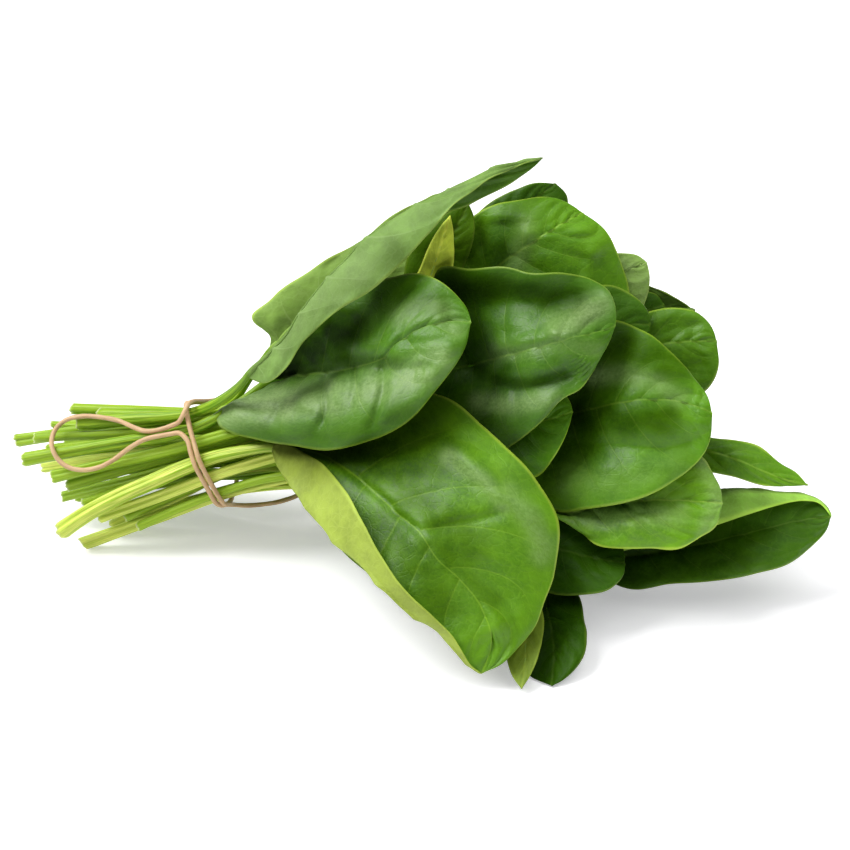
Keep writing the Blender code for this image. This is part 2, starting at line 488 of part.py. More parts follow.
def spread_stalks(lines, radii, times=60, step=3.0):
    """Pushes stalks that would run into each other apart, sideways to both,
    keeping the end that carries the blade where it is."""
    lines = [line.copy() for line in lines]
    n = len(lines)
    m = [int(np.linalg.norm(np.diff(line, axis=0), axis=1).sum() / step) + 2 for line in lines]
    where = [np.linspace(0, len(line) - 1, k) for line, k in zip(lines, m)]
    seg = [np.minimum(w.astype(int), len(line) - 2) for w, line in zip(where, lines)]
    frac = [w - s for w, s in zip(where, seg)]
    who = np.concatenate([np.full(k, i) for i, k in enumerate(m)])
    R = np.concatenate([np.interp(w, np.arange(len(r)), r) for w, r in zip(where, radii)])
    for turn in range(times):
        P = np.concatenate([line[s] * (1 - f)[:, None] + line[s + 1] * f[:, None] for line, s, f in zip(lines, seg, frac)])
        if turn % 15 == 0:
            one, two = np.nonzero(np.triu(((P[:, None] - P[None]) ** 2).sum(2) < 13.0**2, 1) & (who[:, None] < who[None]))
        D = P[one] - P[two]
        dist = np.sqrt((D**2).sum(1)) + 1e-9
        short = R[one] + R[two] + STALK_GAP + 0.25 - dist
        hit = short > 0
        if not hit.any() or short.max() < 0.05:
            break
        push = D[hit] / dist[hit, None] * (short[hit] * 0.5)[:, None]
        move, count = np.zeros_like(P), np.zeros(len(P))
        np.add.at(move, one[hit], push)
        np.add.at(move, two[hit], -push)
        np.add.at(count, one[hit], 1)
        np.add.at(count, two[hit], 1)
        move /= np.maximum(count, 1)[:, None]
        at = 0
        for i in range(n):
            mv, s, f = move[at : at + m[i]], seg[i], frac[i]
            at += m[i]
            sums, weight = np.zeros_like(lines[i]), np.zeros(len(lines[i]))
            hit = np.linalg.norm(mv, axis=1) > 1e-6
            np.add.at(sums, s, mv * (1 - f)[:, None])
            np.add.at(sums, s + 1, mv * f[:, None])
            np.add.at(weight, s, (1 - f) * hit)
            np.add.at(weight, s + 1, f * hit)
            push = sums / np.maximum(weight, 0.6)[:, None]
            push = 0.7 * push + 0.3 * np.concatenate([push[:1], (push[:-2] + push[2:]) / 2, push[-1:]])
            push[-1] = 0
            push[-2] *= 0.5
            lines[i] += 0.9 * push
    return lines


def lay_out():
    items = []
    for L in LEAVES:
        us = np.linspace(0, 1, BLADE_RINGS + 1) ** 0.94
        G = blade_grid(L, us, L.get("cols", (-1.0, -0.5, 0.0, 0.5, 1.0)))
        line, tie = stalk_line(L, STALK_RINGS)
        r = L["r"]
        share = np.linspace(0, 1, STALK_RINGS)
        radii = r * (1 - 0.42 * np.clip((share - 0.35) / 0.65, 0, 1) ** 1.3)
        ribs = np.interp(us, [0, 0.1, 0.5, 1.0], [radii[-1], 0.7 * radii[-1], 0.7, 0.4])
        items.append((G, line, radii, ribs))
    for _ in range(3):
        lines = spread_stalks([i[1] for i in items], [i[2] for i in items])
        items = settle([(G, line, r, k) for (G, _, r, k), line in zip(items, lines)])
    lines = spread_stalks([i[1] for i in items], [i[2] for i in items])
    return [(G, line, r, k) for (G, _, r, k), line in zip(items, lines)]


# -------------------------------------------------------------- leaf solids
def unit(v):
    return v / np.maximum(np.linalg.norm(v, axis=-1, keepdims=True), 1e-12)


def leaf_solid(G, line, radii, ribs, under):
    """Rings of points from the cut end to the tip, and the faces between
    them.  Each ring runs along the side that faces the viewpoint from the
    left margin to the right one, and back along the other side."""
    W, S = place(G), place(line)
    nu, nv = W.shape[:2]
    # the way up out of the blade, at every grid point
    du, dv = np.gradient(W, axis=0), np.gradient(W, axis=1)
    N = unit(np.cross(dv, du))
    N[0] = N[1]
    N[-1] = N[-2]
    # frames along the stalk, carried back from the blade
    T = unit(np.gradient(S, axis=0))
    up = N[1].mean(0)
    ups = []
    for i in range(len(S) - 1, -1, -1):
        up = unit(up - T[i] * (up @ T[i]))
        ups.append(up)
    ups = np.array(ups[::-1])
    left = unit(np.cross(ups, T))
    shares = np.linspace(0, 1, nv)
    angle = np.pi * (0.1 + 0.8 * shares)
    rings = []
    for i in range(len(S)):
        top = S[i] + radii[i] * (np.cos(angle)[:, None] * left[i] + np.sin(angle)[:, None] * ups[i] * 0.92)
        low = S[i] + radii[i] * (np.cos(angle)[:, None] * left[i] - np.sin(angle)[:, None] * ups[i] * 0.92)
        rings.append(np.concatenate([top, low[::-1]]))
    dist = np.linalg.norm(W - W[:, mid_column(G)][:, None], axis=2)
    for i in range(1, nu - 1):
        edge = np.linspace(-1, 1, nv)
        t = BLADE_T * (1 - np.abs(edge) ** 4) + MARGIN_T * np.abs(edge) ** 4
        rib = ribs[i] * np.exp(-((dist[i] / (1.2 + ribs[i])) ** 2))
        above, below = t / 2, t / 2
        if under:
            above = above + rib
        else:
            below = below + rib
        top = W[i] + N[i] * above[:, None]
        low = W[i] - N[i] * below[:, None]
        rings.append(np.concatenate([top, low[::-1]]))
    m = 2 * nv
    verts = np.concatenate(rings + [W[-1, :1]])
    faces = [tuple(range(m))[::-1]]
    for i in range(len(rings) - 1):
        for k in range(m):
            faces.append((i * m + k, i * m + (k + 1) % m, (i + 1) * m + (k + 1) % m, (i + 1) * m + k))
    last = (len(rings) - 1) * m
    for k in range(m):
        faces.append((last + k, last + (k + 1) % m, len(verts) - 1))
    return verts, faces


# ------------------------------------------------------------------ the band
# Its plane across the tie, on the board: towards the viewpoint (q) and up (p).
TIE_P, TIE_Q = np.array([-0.354, 0.935, 0.0]), np.array([-0.35, 0.0, 1.0])
TIE_ALONG = np.array([0.93, 0.12, 0.34])
KNOT = 33.0            # degrees up from the front at which the free loop leaves
FREE_LOOP = ((-82.5, 0.6), (-87.5, -1.3), (-93.5, -2.0), (-97.5, -0.6), (-101.5, 1.2), (-107.5, 2.5), (-114.5, 2.9),
             (-119.8, 1.6), (-123.4, -1.8), (-124.5, -6.0), (-123.2, -10.2), (-119.8, -13.6), (-114.4, -15.0),
             (-109.0, -14.2), (-103.8, -11.6), (-98.4, -7.6), (-93.6, -4.9), (-87.2, -3.4), (-82.4, -2.6))


def around(line, radii, room, step=0.6):
    """Points on a tube's skin, room further out."""
    long = np.concatenate([[0], np.cumsum(np.linalg.norm(np.diff(line, axis=0), axis=1))])
    t = np.linspace(0, long[-1], int(long[-1] / step) + 2)
    P = np.stack([np.interp(t, long, line[:, k]) for k in range(3)], axis=1)
    r = np.interp(t, long, radii) + room
    T = unit(np.gradient(P, axis=0))
    A = unit(np.cross(T, [0.1, 0.2, 1.0]))
    B = np.cross(T, A)
    h = np.linspace(0, 2 * np.pi, 19)[:-1]
    return (P[:, None] + r[:, None, None] * (np.cos(h)[:, None] * A[:, None] + np.sin(h)[:, None] * B[:, None])).reshape(-1, 3)


def reach_round(cloud, shift, thick):
    """How far out the points of cloud reach round the tie in a slice of it:
    the slice's middle, and the reach at every third degree (0 is towards the
    viewpoint, 90 up)."""
    n = unit(np.cross(TIE_P, TIE_Q))
    at = np.array(TIE) + shift * TIE_ALONG
    rel = cloud - at
    rel = rel[np.abs(rel @ n) < thick]
    y = rel[:, 1] / TIE_P[1]
    x = rel[:, 2]
    pts = np.stack([x, y], axis=1)
    centre = (pts.max(0) + pts.min(0)) / 2
    look = np.radians(np.arange(0, 360, 3))
    h = ((pts - centre) @ np.stack([np.cos(look), np.sin(look)])).max(0)
    turn = np.cos(look[:, None] - look[None])
    out = np.where(turn > 0.05, h[None] / np.maximum(turn, 0.05), 1e9).min(1)
    return at + TIE_Q * centre[0] + TIE_P * centre[1], out


def band_path(items):
    """The middle line of the rubber band, a closed curve on the board: two
    turns side by side over the front of the stalks, the second of them slack
    underneath, where it strays towards the leaves, and a free loop that lies
    on the stalks towards their cut ends."""
    room = BAND_GAP + BAND_D / 2
    full = [(np.concatenate([line, G[1:3, mid_column(G)]]), np.concatenate([radii, ribs[1:3] + 0.4])) for G, line, radii, ribs in items]
    cloud = np.concatenate([around(line, radii, room) for line, radii in full])
    beside = BAND_D + 0.35
    slices = {}

    def point(angle, shift, more=0.0):
        key = round(shift, 1)
        if key not in slices:
            slices[key] = reach_round(cloud, key, BAND_D / 2 + 0.5)
        middle, out = slices[key]
        r = np.interp(angle % 360, np.arange(0, 363, 3), np.append(out, out[0])) + more
        w = math.radians(angle)
        return middle + TIE_Q * r * math.cos(w) + TIE_P * r * math.sin(w)

    pts = []
    for a in np.arange(KNOT - 20, KNOT - 360.1, -12.0):
        pts.append(point(a, SHIFT + beside * ease((KNOT - a - 220) / 110)))
    for a in np.arange(KNOT - 372, KNOT - 720 + 12, -12.0):
        k = (KNOT - 360 - a) / 360
        stray = STRAY * ease((k - 0.29) / 0.23) * (1 - ease((k - 0.56) / 0.32))
        sag = SAG * math.exp(-(((k - 0.425) / 0.095) ** 2))
        pts.append(point(a, SHIFT + beside * (1 + ease((k - 0.70) / 0.22)) + stray, sag))
    pts.append(point(KNOT + 9, SHIFT + beside * 1.7, beside * 0.75))
    pts.append(point(KNOT + 1, SHIFT + beside * 0.7, beside * 1.12))
    # the free loop: just clear of the stalks it lies on
    tubes = []
    for line, radii in full:
        long = np.concatenate([[0], np.cumsum(np.linalg.norm(np.diff(line, axis=0), axis=1))])
        t = np.linspace(0, long[-1], int(long[-1] / 0.5) + 2)
        tubes.append(np.stack([np.interp(t, long, line[:, k]) for k in range(3)] + [np.interp(t, long, radii)], axis=1))
    tubes = np.concatenate(tubes)
    loop = np.array(FREE_LOOP)
    fine = spline(np.column_stack([loop, np.zeros(len(loop))]), np.linspace(0, 1, 56))[:, :2]
    need = np.full(len(fine), -1e3)
    for i, q in enumerate(fine):
        d2 = ((tubes[:, :2] - q) ** 2).sum(1)
        reach = (tubes[:, 3] + room + 0.15) ** 2 - d2
        ok = reach > 0
        if ok.any():
            need[i] = (tubes[ok, 2] + np.sqrt(reach[ok])).max()
    need = np.maximum(need, need[need > -900].min())
    lift = smooth_over(need, 25)
    lift[:3] += np.array([0.55, 0.3, 0.1]) * beside
    return pts, np.column_stack([fine, lift])


def ease(x):
    x = min(max(x, 0.0), 1.0)
    return x * x * (3 - 2 * x)


def closed(points, spacing):
    """A smooth closed curve through the points, evenly spaced."""
    p = np.asarray(points, float)
    p = np.concatenate([p[-3:], p, p[:3]])
    x = np.concatenate([[0.0], np.cumsum(np.linalg.norm(np.diff(p, axis=0), axis=1) + 1e-6)])
    n = max(int((x[-4] - x[2]) / spacing), 12)
    return hermite(x, p, np.linspace(x[3], x[-3], n + 1)[:-1])


SHIFT = -5.4          # of the first turn from the tie's middle, along the bunch
STRAY = 25.0          # how far the slack turn strays towards the leaves
SAG = 7.0             # how far it hangs clear underneath


# ==== objects
for old in list(bpy.data.objects):
    bpy.data.objects.remove(old, do_unlink=True)

bunch = bpy.data.collections.new("spinach_bunch")
bpy.context.scene.collection.children.link(bunch)


def material(name, colour, roughness):
    m = bpy.data.materials.new(name)
    m.use_nodes = True
    shader = m.node_tree.nodes["Principled BSDF"]
    shader.inputs["Base Color"].default_value = (*colour, 1.0)
    shader.inputs["Roughness"].default_value = roughness
    shader.inputs["Metallic"].default_value = 0.0
    m.diffuse_color = (*colour, 1.0)
    return m


def solid(name, verts, faces, mat):
    mesh = bpy.data.meshes.new(name)
    mesh.from_pydata([tuple(v) for v in verts / 1000.0], [], faces)
    mesh.materials.append(mat)
    mesh.update()
    mesh.shade_smooth()
    ob = bpy.data.objects.new(name, mesh)
    bunch.objects.link(ob)
    return ob


def triangles(verts, faces):
    """Splits each four-sided face along the diagonal that folds it least."""
    out = []
    for f in faces:
        if len(f) != 4:
            out.append(f)
            continue
        a, b, c, d = (verts[i] for i in f)
        one = unit(np.cross(b - a, c - a)) @ unit(np.cross(c - a, d - a))
        two = unit(np.cross(c - b, d - b)) @ unit(np.cross(d - b, a - b))
        out += [(f[0], f[1], f[2]), (f[0], f[2], f[3])] if one >= two else [(f[1], f[2], f[3]), (f[1], f[3], f[0])]
    return out


def cord(name, line, radius, mat):
    """A round cord along a closed line."""
    curve = bpy.data.curves.new(name, "CURVE")
    curve.dimensions = "3D"
    curve.bevel_depth = radius / 1000.0
    curve.bevel_resolution = 2
    curve.resolution_u = 1
    curve.use_fill_caps = True
    thread = curve.splines.new("POLY")
    thread.points.add(len(line) - 1)
    for point, q in zip(thread.points, line / 1000.0):
        point.co = (*q, 1.0)
    thread.use_cyclic_u = True
    thread.use_smooth = True
    curve.materials.append(mat)
    ob = bpy.data.objects.new(name, curve)
    bunch.objects.link(ob)
    return ob


items = lay_out()
turns, loop = band_path(items)
band = place(closed(np.concatenate([turns, loop]), 2.4))
shapes = [leaf_solid(G, line, radii, ribs, L.get("under", False)) for (G, line, radii, ribs), L in zip(items, LEAVES)]
every = np.concatenate([v for v, _ in shapes])
low, high = every.min(0), every.max(0)
shift = np.array([(low[0] + high[0]) / 2, (low[1] + high[1]) / 2, low[2]])
for L, (verts, faces) in zip(LEAVES, shapes):
    pale = L.get("under", False)
    mat = material(L["name"] + "_green", (0.16, 0.25, 0.07) if pale else (0.05, 0.13, 0.02), 0.42)
    verts = verts - shift
    solid(L["name"], verts, triangles(verts, faces), mat)
cord("rubber_band", band - shift, BAND_D / 2, material("rubber_band_rubber", (0.62, 0.42, 0.27), 0.55))
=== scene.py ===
"""Looks for the bunch of spinach: every leaf rebuilt with its blisters, veins,
wavy margin and grooved stalk over the CAD leaf it stands for, the rubber band,
soft light and a pale floor.

The leaves are laid out by the same rules as the CAD model, in millimetres, and
the layout is then set onto the CAD nodes' own boxes.
"""

import math

import bpy
import numpy as np
from mathutils import Matrix, Vector


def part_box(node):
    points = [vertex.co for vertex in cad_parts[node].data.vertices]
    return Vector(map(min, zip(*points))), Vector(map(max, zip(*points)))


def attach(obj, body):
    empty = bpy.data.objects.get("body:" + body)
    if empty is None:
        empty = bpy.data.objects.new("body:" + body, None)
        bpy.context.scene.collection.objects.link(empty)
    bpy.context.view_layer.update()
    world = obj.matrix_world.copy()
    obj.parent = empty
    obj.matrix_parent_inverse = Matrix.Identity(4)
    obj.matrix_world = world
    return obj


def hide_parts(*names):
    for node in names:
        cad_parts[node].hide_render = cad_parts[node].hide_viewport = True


# ---------------------------------------------------------------- dimensions
BLADE_T = 0.80        # blade thickness
MARGIN_T = 0.50       # and at its margin
RIB_T = 2.4           # depth of the midrib where the blade starts
GAP = 1.1             # least room between two leaves that overlap
STALK_GAP = 0.45      # room between two stalks
BAND_D = 1.7          # the rubber band's cord
BAND_GAP = 0.5        # between the band and the stalks
STALK_RINGS = 8       # rings along a stalk
BLADE_RINGS = 12      # rings along a blade

# The layout frame: a drawing board that leans back by LEAN from the vertical
# and is turned by TURN about +Z.  (a, b) are millimetres across and up the
# board, and c is how far a point stands in front of it, along the line to the
# viewpoint VIEW millimetres away.
TURN = math.radians(22.0)
LEAN = math.radians(30.0)
VIEW = 800.0
BOARD = np.array([0.0, 0.0, 58.0])
ACROSS = np.array([math.cos(TURN), math.sin(TURN), 0.0])
BACK = np.array([math.sin(TURN) * math.cos(LEAN), -math.cos(TURN) * math.cos(LEAN), math.sin(LEAN)])
UP = np.cross(BACK, ACROSS)

# The tie: the middle of the stalks under the band, on the board, and the rows
# and columns in which the stalks pack there.
TIE = (-67.2, -8.5, -36.0)
ROWS = (13.4, 8.1, 2.7, -2.7, -8.1, -13.4)
COLS = ((-8.0, 8.0), (-13.4, 13.4), (-14.5, 14.5), (-14.5, 14.5), (-13.4, 13.4), (-8.0, 8.0))
IN_ROW = (4, 6, 6, 6, 6, 4)


def place(p):
    """Board coordinates (a, b, c) to world millimetres."""
    p = np.asarray(p, float)
    q = BOARD + p[..., 0:1] * ACROSS + p[..., 1:2] * UP
    return q + (BOARD + VIEW * BACK - q) * (p[..., 2:3] / VIEW)


def board(w):
    """World millimetres to board coordinates: place, the other way."""
    w = np.asarray(w, float)
    c = (w - BOARD) @ BACK
    q = (w - (BOARD + VIEW * BACK) * (c[..., None] / VIEW)) / (1 - c[..., None] / VIEW) - BOARD
    return np.stack([q @ ACROSS, q @ UP, c], axis=-1)


# ------------------------------------------------------------------- splines
def hermite(x, p, t):
    """Cubic through p at knots x, with three-point tangents, read at t."""
    x, p, t = np.asarray(x, float), np.asarray(p, float), np.asarray(t, float)
    if len(x) == 2:
        w = ((t - x[0]) / (x[1] - x[0]))[:, None]
        return p[0] * (1 - w) + p[1] * w
    h = np.diff(x)[:, None]
    s = np.diff(p, axis=0) / h
    m = np.empty_like(p)
    m[1:-1] = (s[:-1] * h[1:] + s[1:] * h[:-1]) / (h[:-1] + h[1:])
    m[0] = 1.5 * s[0] - 0.5 * m[1]
    m[-1] = 1.5 * s[-1] - 0.5 * m[-2]
    i = np.clip(np.searchsorted(x, t, side="right") - 1, 0, len(x) - 2)
    hh = h[i]
    w = (t[:, None] - x[i][:, None]) / hh
    return (
        (2 * w**3 - 3 * w**2 + 1) * p[i]
        + (w**3 - 2 * w**2 + w) * hh * m[i]
        + (-2 * w**3 + 3 * w**2) * p[i + 1]
        + (w**3 - w**2) * hh * m[i + 1]
    )


def spline(points, t):
    """A smooth curve through the points, read at t (0..1 of its length)."""
    p = np.asarray(points, float)
    x = np.concatenate([[0.0], np.cumsum(np.linalg.norm(np.diff(p, axis=0), axis=1) + 1e-6)])
    return hermite(x / x[-1], p, t)


# -------------------------------------------------------------------- leaves
# Each leaf, outermost first: where its blade starts (base) and ends (tip) on
# the board, with the height c of both; the rails of the blade between them,
# from the margin on the left hand of someone looking along the leaf to its
# tip (-1), over the midrib (0), to the other margin (1), as (a, b) or, where
# the blade leaves its plain slope, (a, b, extra height); and how it stands:
#   arch  how far the middle of its length bows out
#   roll  slope across the blade, + lifts the left side
#   curl  bending back of the two sides, in 1/mm
#   cup   bow of each half between midrib and margin, as a share of its width
#   seat  (row, column) of its stalk under the band; end: its cut end; r: the
#         stalk's radius
#   under the blade shows its underside outwards
LEAVES = []


def leaf(name, base, tip, rails, **more):
    LEAVES.append(dict(name=name, base=base, tip=tip, rails=rails, **more))


def plain_leaf(name, base, tip, face, left, right, arch=0.0, lobe=0.09, shoulder=0.36, bow=0.0, back=0.05, **more):
    """A leaf with a plain spinach outline, set out in the world: it runs
    from base to tip, its upper side looks towards face, left and right are
    its greatest half-widths, arch bows its length out towards face, bow
    bends it to the left and back bends its two sides away from face."""
    b, t = np.array(base, float), np.array(tip, float)
    long = np.linalg.norm(t - b)
    along = (t - b) / long
    out = np.array(face, float)
    out -= along * (out @ along)
    out /= np.linalg.norm(out)
    side = np.cross(out, along)
    rails = {}
    for v, w in ((-1.0, left), (-0.5, left), (0.0, 0.0), (0.5, -right), (1.0, -right)):
        if v == 0.0:
            steps = [(0.25, 0), (0.5, 0), (0.75, 0)]
        elif abs(v) == 1:
            steps = [(-0.35 * lobe, 0.28), (-lobe, 0.62), (0.06, 0.93), (shoulder, 1.0), (0.62, 0.90), (0.82, 0.62), (0.95, 0.30)]
        else:
            steps = [(0.0, 0.16), (0.06, 0.34), (0.2, 0.49), (0.42, 0.5), (0.65, 0.44), (0.83, 0.30), (0.96, 0.13)]
        pts = []
        for s, k in steps:
            c = min(max(s, 0.0), 1.0)
            lift = arch * 4 * c * (1 - c) - back * abs(w) * (2 * k) ** 2 / 4
            pts.append(b + along * long * s + side * (w * k + bow * math.sin(math.pi * c)) + out * lift)
        rails[v] = [tuple(q) for q in pts]
    ends = board(np.array([b, t]))
    lines = {v: np.vstack([ends[:1], board(np.array(r)), ends[1:]]) for v, r in rails.items()}
    LEAVES.append(dict(name=name, base=tuple(ends[0]), tip=tuple(ends[1]), lines=lines, cup=(0.0, 0.0), **more))


leaf("leaf_top_folded", (-59, 16.3, -9), (39.3, 88.7, -8),
     {-1.0: [(-50, 24, -3), (-40, 34, -4), (-25, 49, -5), (-8, 62, -5), (6, 70.5, -5), (15.7, 73.7, -4), (22.7, 77.3, -3), (31.7, 82.3, -2)],
      0.0: [(-50, 25), (-35, 45), (-21.7, 60), (-5, 71.7), (10, 79), (25, 86.2)],
      1.0: [(-53.7, 14, 2), (-46.3, 18.7, 4), (-39.3, 28.7, 5), (-27.3, 39, 6), (-17.3, 45.3, 6), (-6.7, 55, 6), (1.7, 64.3, 6), (10, 73.3, 5), (17, 78.6, 4), (26, 84, 2)]},
     arch=15, cup=(0.0, 0.10), seat=(0, 0), end=(-115.3, -0.5), r=2.3, under=True)
leaf("leaf_left_blistered", (-53.7, 14, -14), (15.3, 34.5, 18),
     {-1.0: [(-50, 20), (-42, 29), (-33, 39), (-24, 46), (-10.7, 49.3), (-3.7, 50.7), (2.3, 49.3), (9.7, 44.3), (13.9, 39)],
      0.0: [(-45.3, 16, -2), (-37, 17, -3), (-23.7, 19.3, -3), (-15, 22, -3), (-7, 29, -2), (2.3, 33.5, -1)],
      1.0: [(-58, 12.0, 3), (-64, 7.6, 7), (-69, 3.9, 9), (-68.9, 0, 10), (-65, -2.8, 9), (-57, -4.9, 6), (-45.3, -7, 3), (-33.3, -8.3), (-21.3, -6.3), (-12.7, -3.3), (-3.7, 2.7), (4, 11.7), (9.7, 19.3), (14.3, 27.5)]},
     arch=8, roll=-0.32, curl=-0.003, cup=(0.02, 0.16), seat=(1, 0), end=(-133.5, -11.5), r=2.2)
leaf("leaf_front_large", (-51, -7.3, -12), (19, -82.7, 32),
     {-1.0: [(-42, 1), (-32, 6), (-20, 11), (-8, 12.8), (3.7, 10.3), (12, 6), (20.3, -1), (28.7, -9.3), (37, -17.7), (41.3, -24), (44, -31.7), (44.7, -39.3), (43.3, -49.7), (40, -58.3), (37, -67.3), (30.7, -75), (25, -80)],
      0.0: [(-34.3, -10), (-26, -15), (-18.3, -21), (-11, -28), (-2, -35.7), (4.3, -45), (12, -52), (18.3, -60), (22, -70)],
      0.7: [(-47.7, -14.3), (-42, -22), (-35.7, -30.3), (-29.3, -38.7), (-21, -47), (-12, -56.7), (-4, -63.7), (4.3, -69.3), (9.7, -74.3), (14, -79.5)],
      1.0: [(-50.3, -6.7, 1), (-45.3, -6.7, 2), (-40.3, -9.3, 3), (-33.7, -13.3, 5), (-28.7, -19, 6), (-24.3, -25.3, 7), (-19.7, -34.3, 7), (-13.3, -45.7, 6), (-5.7, -56, 5), (2.7, -63.7, 4), (9, -70, 3), (12.6, -75.7, 2), (16, -80.5, 1)]},
     arch=16, roll=-0.05, curl=-0.002, cup=(0.06, 0.04), seat=(3, 0), end=(-120.3, -34.7), r=2.9,
     cols=(-1.0, -0.66, -0.33, 0.0, 0.3, 0.55, 0.7, 0.84, 1.0))
leaf("leaf_middle_blistered", (4, 18, 2), (63.6, 33.3, 18),
     {-1.0: [(2, 26), (1, 36), (1.7, 45), (4.3, 51.7), (15, 52), (26.7, 52.7), (35, 50.7), (46.3, 50.7), (55.3, 49), (60.7, 45.3), (63.5, 39)],
      0.0: [(15, 20), (25, 22.7), (35.7, 25.3), (49.3, 29.3), (57.7, 31)],
      1.0: [(1, 8), (4, -3), (12, -10), (21, -11), (28.3, -7.3), (39.7, 1.7), (47.7, 9.3), (50.7, 11), (56, 17.3), (60.7, 25.3)]},
     arch=14, roll=-0.18, curl=-0.004, cup=(-0.05, 0.14), seat=(2, 0), end=(-124.3, -17.3), r=2.1)
leaf("leaf_small_middle", (8, 4, -2), (49.3, 4.5, 14),
     {-1.0: [(10, 9), (20, 13.5), (32, 14.5), (43, 12.5), (48, 8.5)],
      0.0: [(20, 1), (35, 0.5)],
      1.0: [(8, -2), (14, -12), (25, -17.5), (38.3, -16.7), (42.7, -11.3), (47.7, -1.7)]},
     arch=6, roll=-0.1, curl=-0.006, cup=(0.05, 0.05), seat=(2, 1), end=(-118.7, -20.3), r=1.9)
leaf("leaf_right_large", (24, 0, 0), (95.8, 4, 18),
     {-1.0: [(25, 7), (32, 16), (43, 27), (54, 33.5), (63.7, 34.7), (70, 32.7), (75.7, 30), (81.7, 24.3), (88.7, 17.7), (93.3, 11.7)],
      0.0: [(38, 1), (54, 5), (71.7, 8.3), (88, 7)],
      1.0: [(25, -8), (31.7, -19), (38, -26), (44, -29), (53.7, -28), (67.7, -25.7), (74.7, -23.3), (81.7, -19.7), (88.7, -15), (93.3, -9.3), (95.7, -2.7)]},
     arch=13, roll=-0.1, curl=-0.004, cup=(0.10, 0.05), seat=(3, 1), end=(-113.3, -26.7), r=2.4)
leaf("leaf_right_crinkled", (34, -22, 0), (99.4, -26, 16),
     {-1.0: [(38, -14), (50, -8), (66, -5), (82, -6), (93, -11), (95.7, -15.3), (98.7, -21)],
      0.0: [(44.5, -29), (58.3, -26.7), (78.3, -25), (92, -25.5)],
      1.0: [(35, -27), (42, -30.5), (46.7, -32.5), (54, -39), (65.3, -41.3), (75.7, -41.7), (85, -41), (92.3, -37.7), (97.3, -32.7)]},
     arch=8, roll=-0.1, curl=-0.005, cup=(0.08, 0.12), seat=(4, 0), end=(-109.7, -29.5), r=2.0)
leaf("leaf_low_small", (30, -32, 4), (66.8, -46, 10),
     {-1.0: [(34, -29), (45, -30), (57, -33), (65, -38)],
      0.0: [(42, -40), (55, -44)],
      1.0: [(28, -38), (32, -48), (42, -56), (51.7, -56.7), (63.3, -53.7), (66.4, -50)]},
     arch=5, roll=-0.3, curl=-0.004, cup=(0.08, 0.08), seat=(4, 1), end=(-100, -31), r=1.7)
leaf("leaf_drooping_pale", (31, -52, 14), (32.3, -88, 33),
     {-1.0: [(36, -56), (39.5, -64), (38.5, -74), (35.4, -82.7)],
      0.0: [(33, -66), (33.5, -78)],
      1.0: [(28, -58), (25.5, -68), (27, -77), (29.3, -84)]},
     arch=3, roll=0.0, curl=-0.01, cup=(0.05, 0.05), seat=(5, 0), end=(-95, -33.5), r=1.7, under=True)
leaf("leaf_drooping_dark", (38, -44, 4), (42, -87.6, 31),
     {-1.0: [(44, -47), (50, -54), (53.3, -64.7), (54, -70), (52.7, -77.7), (49, -82.7)],
      0.0: [(40.5, -60), (43, -75)],
      1.0: [(32, -50), (28, -60), (29, -72), (33, -81), (36, -85.6)]},
     arch=3, roll=-0.1, curl=-0.008, cup=(0.1, 0.05), seat=(5, 1), end=(-114.3, -39), r=2.2, fall=10)
plain_leaf("leaf_under", (-24, -2, 22), (46, -22, 4), (0.1, -0.5, 0.9), 17, 17, arch=-1, seat=(5, 2), end=(-98, -30), r=1.8)
leaf("leaf_right_pointed", (62, -6, -6), (127.7, -20, 8),
     {-1.0: [(66, -1), (80, 1.5), (95.7, -4), (104.3, -5), (111.7, -7.3), (119, -12.3), (124.7, -16.7)],
      0.0: [(80, -6.5, 2), (95.7, -9, 2), (104, -11.5, 2), (112, -15, 2), (119.5, -18, 1)],
      1.0: [(66, -11), (78, -15), (95, -15.8), (103, -17.5), (111.7, -19.9), (119, -20.6)]},
     arch=3, roll=-0.2, cup=(0.08, 0.05), seat=(3, 2), end=(-121, -24), r=1.8)
leaf("leaf_right_folded", (58, -44, -12), (135.3, -30.5, -6),
     {-1.0: [(66, -42, 5), (80, -38.5, 6), (96.7, -33.5, 6), (108, -29.8, 5), (117.3, -26.8, 4), (126.3, -25.3, 2), (131, -26, 1)],
      -0.7: [(64, -37, 3), (78, -28, 4), (90, -24), (99.3, -22.7), (104.3, -21.7), (115.3, -22.3), (126.3, -23.6), (132, -25.8)],
      0.0: [(72, -43, -2), (90, -40, -3), (108, -36, -3), (124, -32, -2)],
      1.0: [(59, -49), (63, -53), (67.7, -54.7), (82.7, -53), (97.3, -52), (111.7, -49.3), (122.7, -45.7), (129.7, -40), (134.3, -34.5)]},
     arch=5, roll=0.0, curl=-0.003, cup=(0.0, 0.08), seat=(4, 2), end=(-104, -34), r=2.2,
     cols=(-1.0, -0.84, -0.7, -0.35, 0.0, 0.33, 0.66, 1.0))
leaf("leaf_behind_middle", (22, 20, -5), (75.3, 33.5, 4),
     {-1.0: [(24, 27), (36, 38), (50, 45), (62.3, 46.6), (67.7, 44.5), (72.7, 41.3), (74.8, 37.5)],
      0.0: [(38, 28), (58, 33)],
      1.0: [(25, 14), (40, 12), (58, 16), (70, 24), (74.5, 29.5)]},
     arch=8, roll=-0.05, curl=-0.006, cup=(0.06, 0.06), seat=(2, 2), end=(-127, -14), r=1.9)
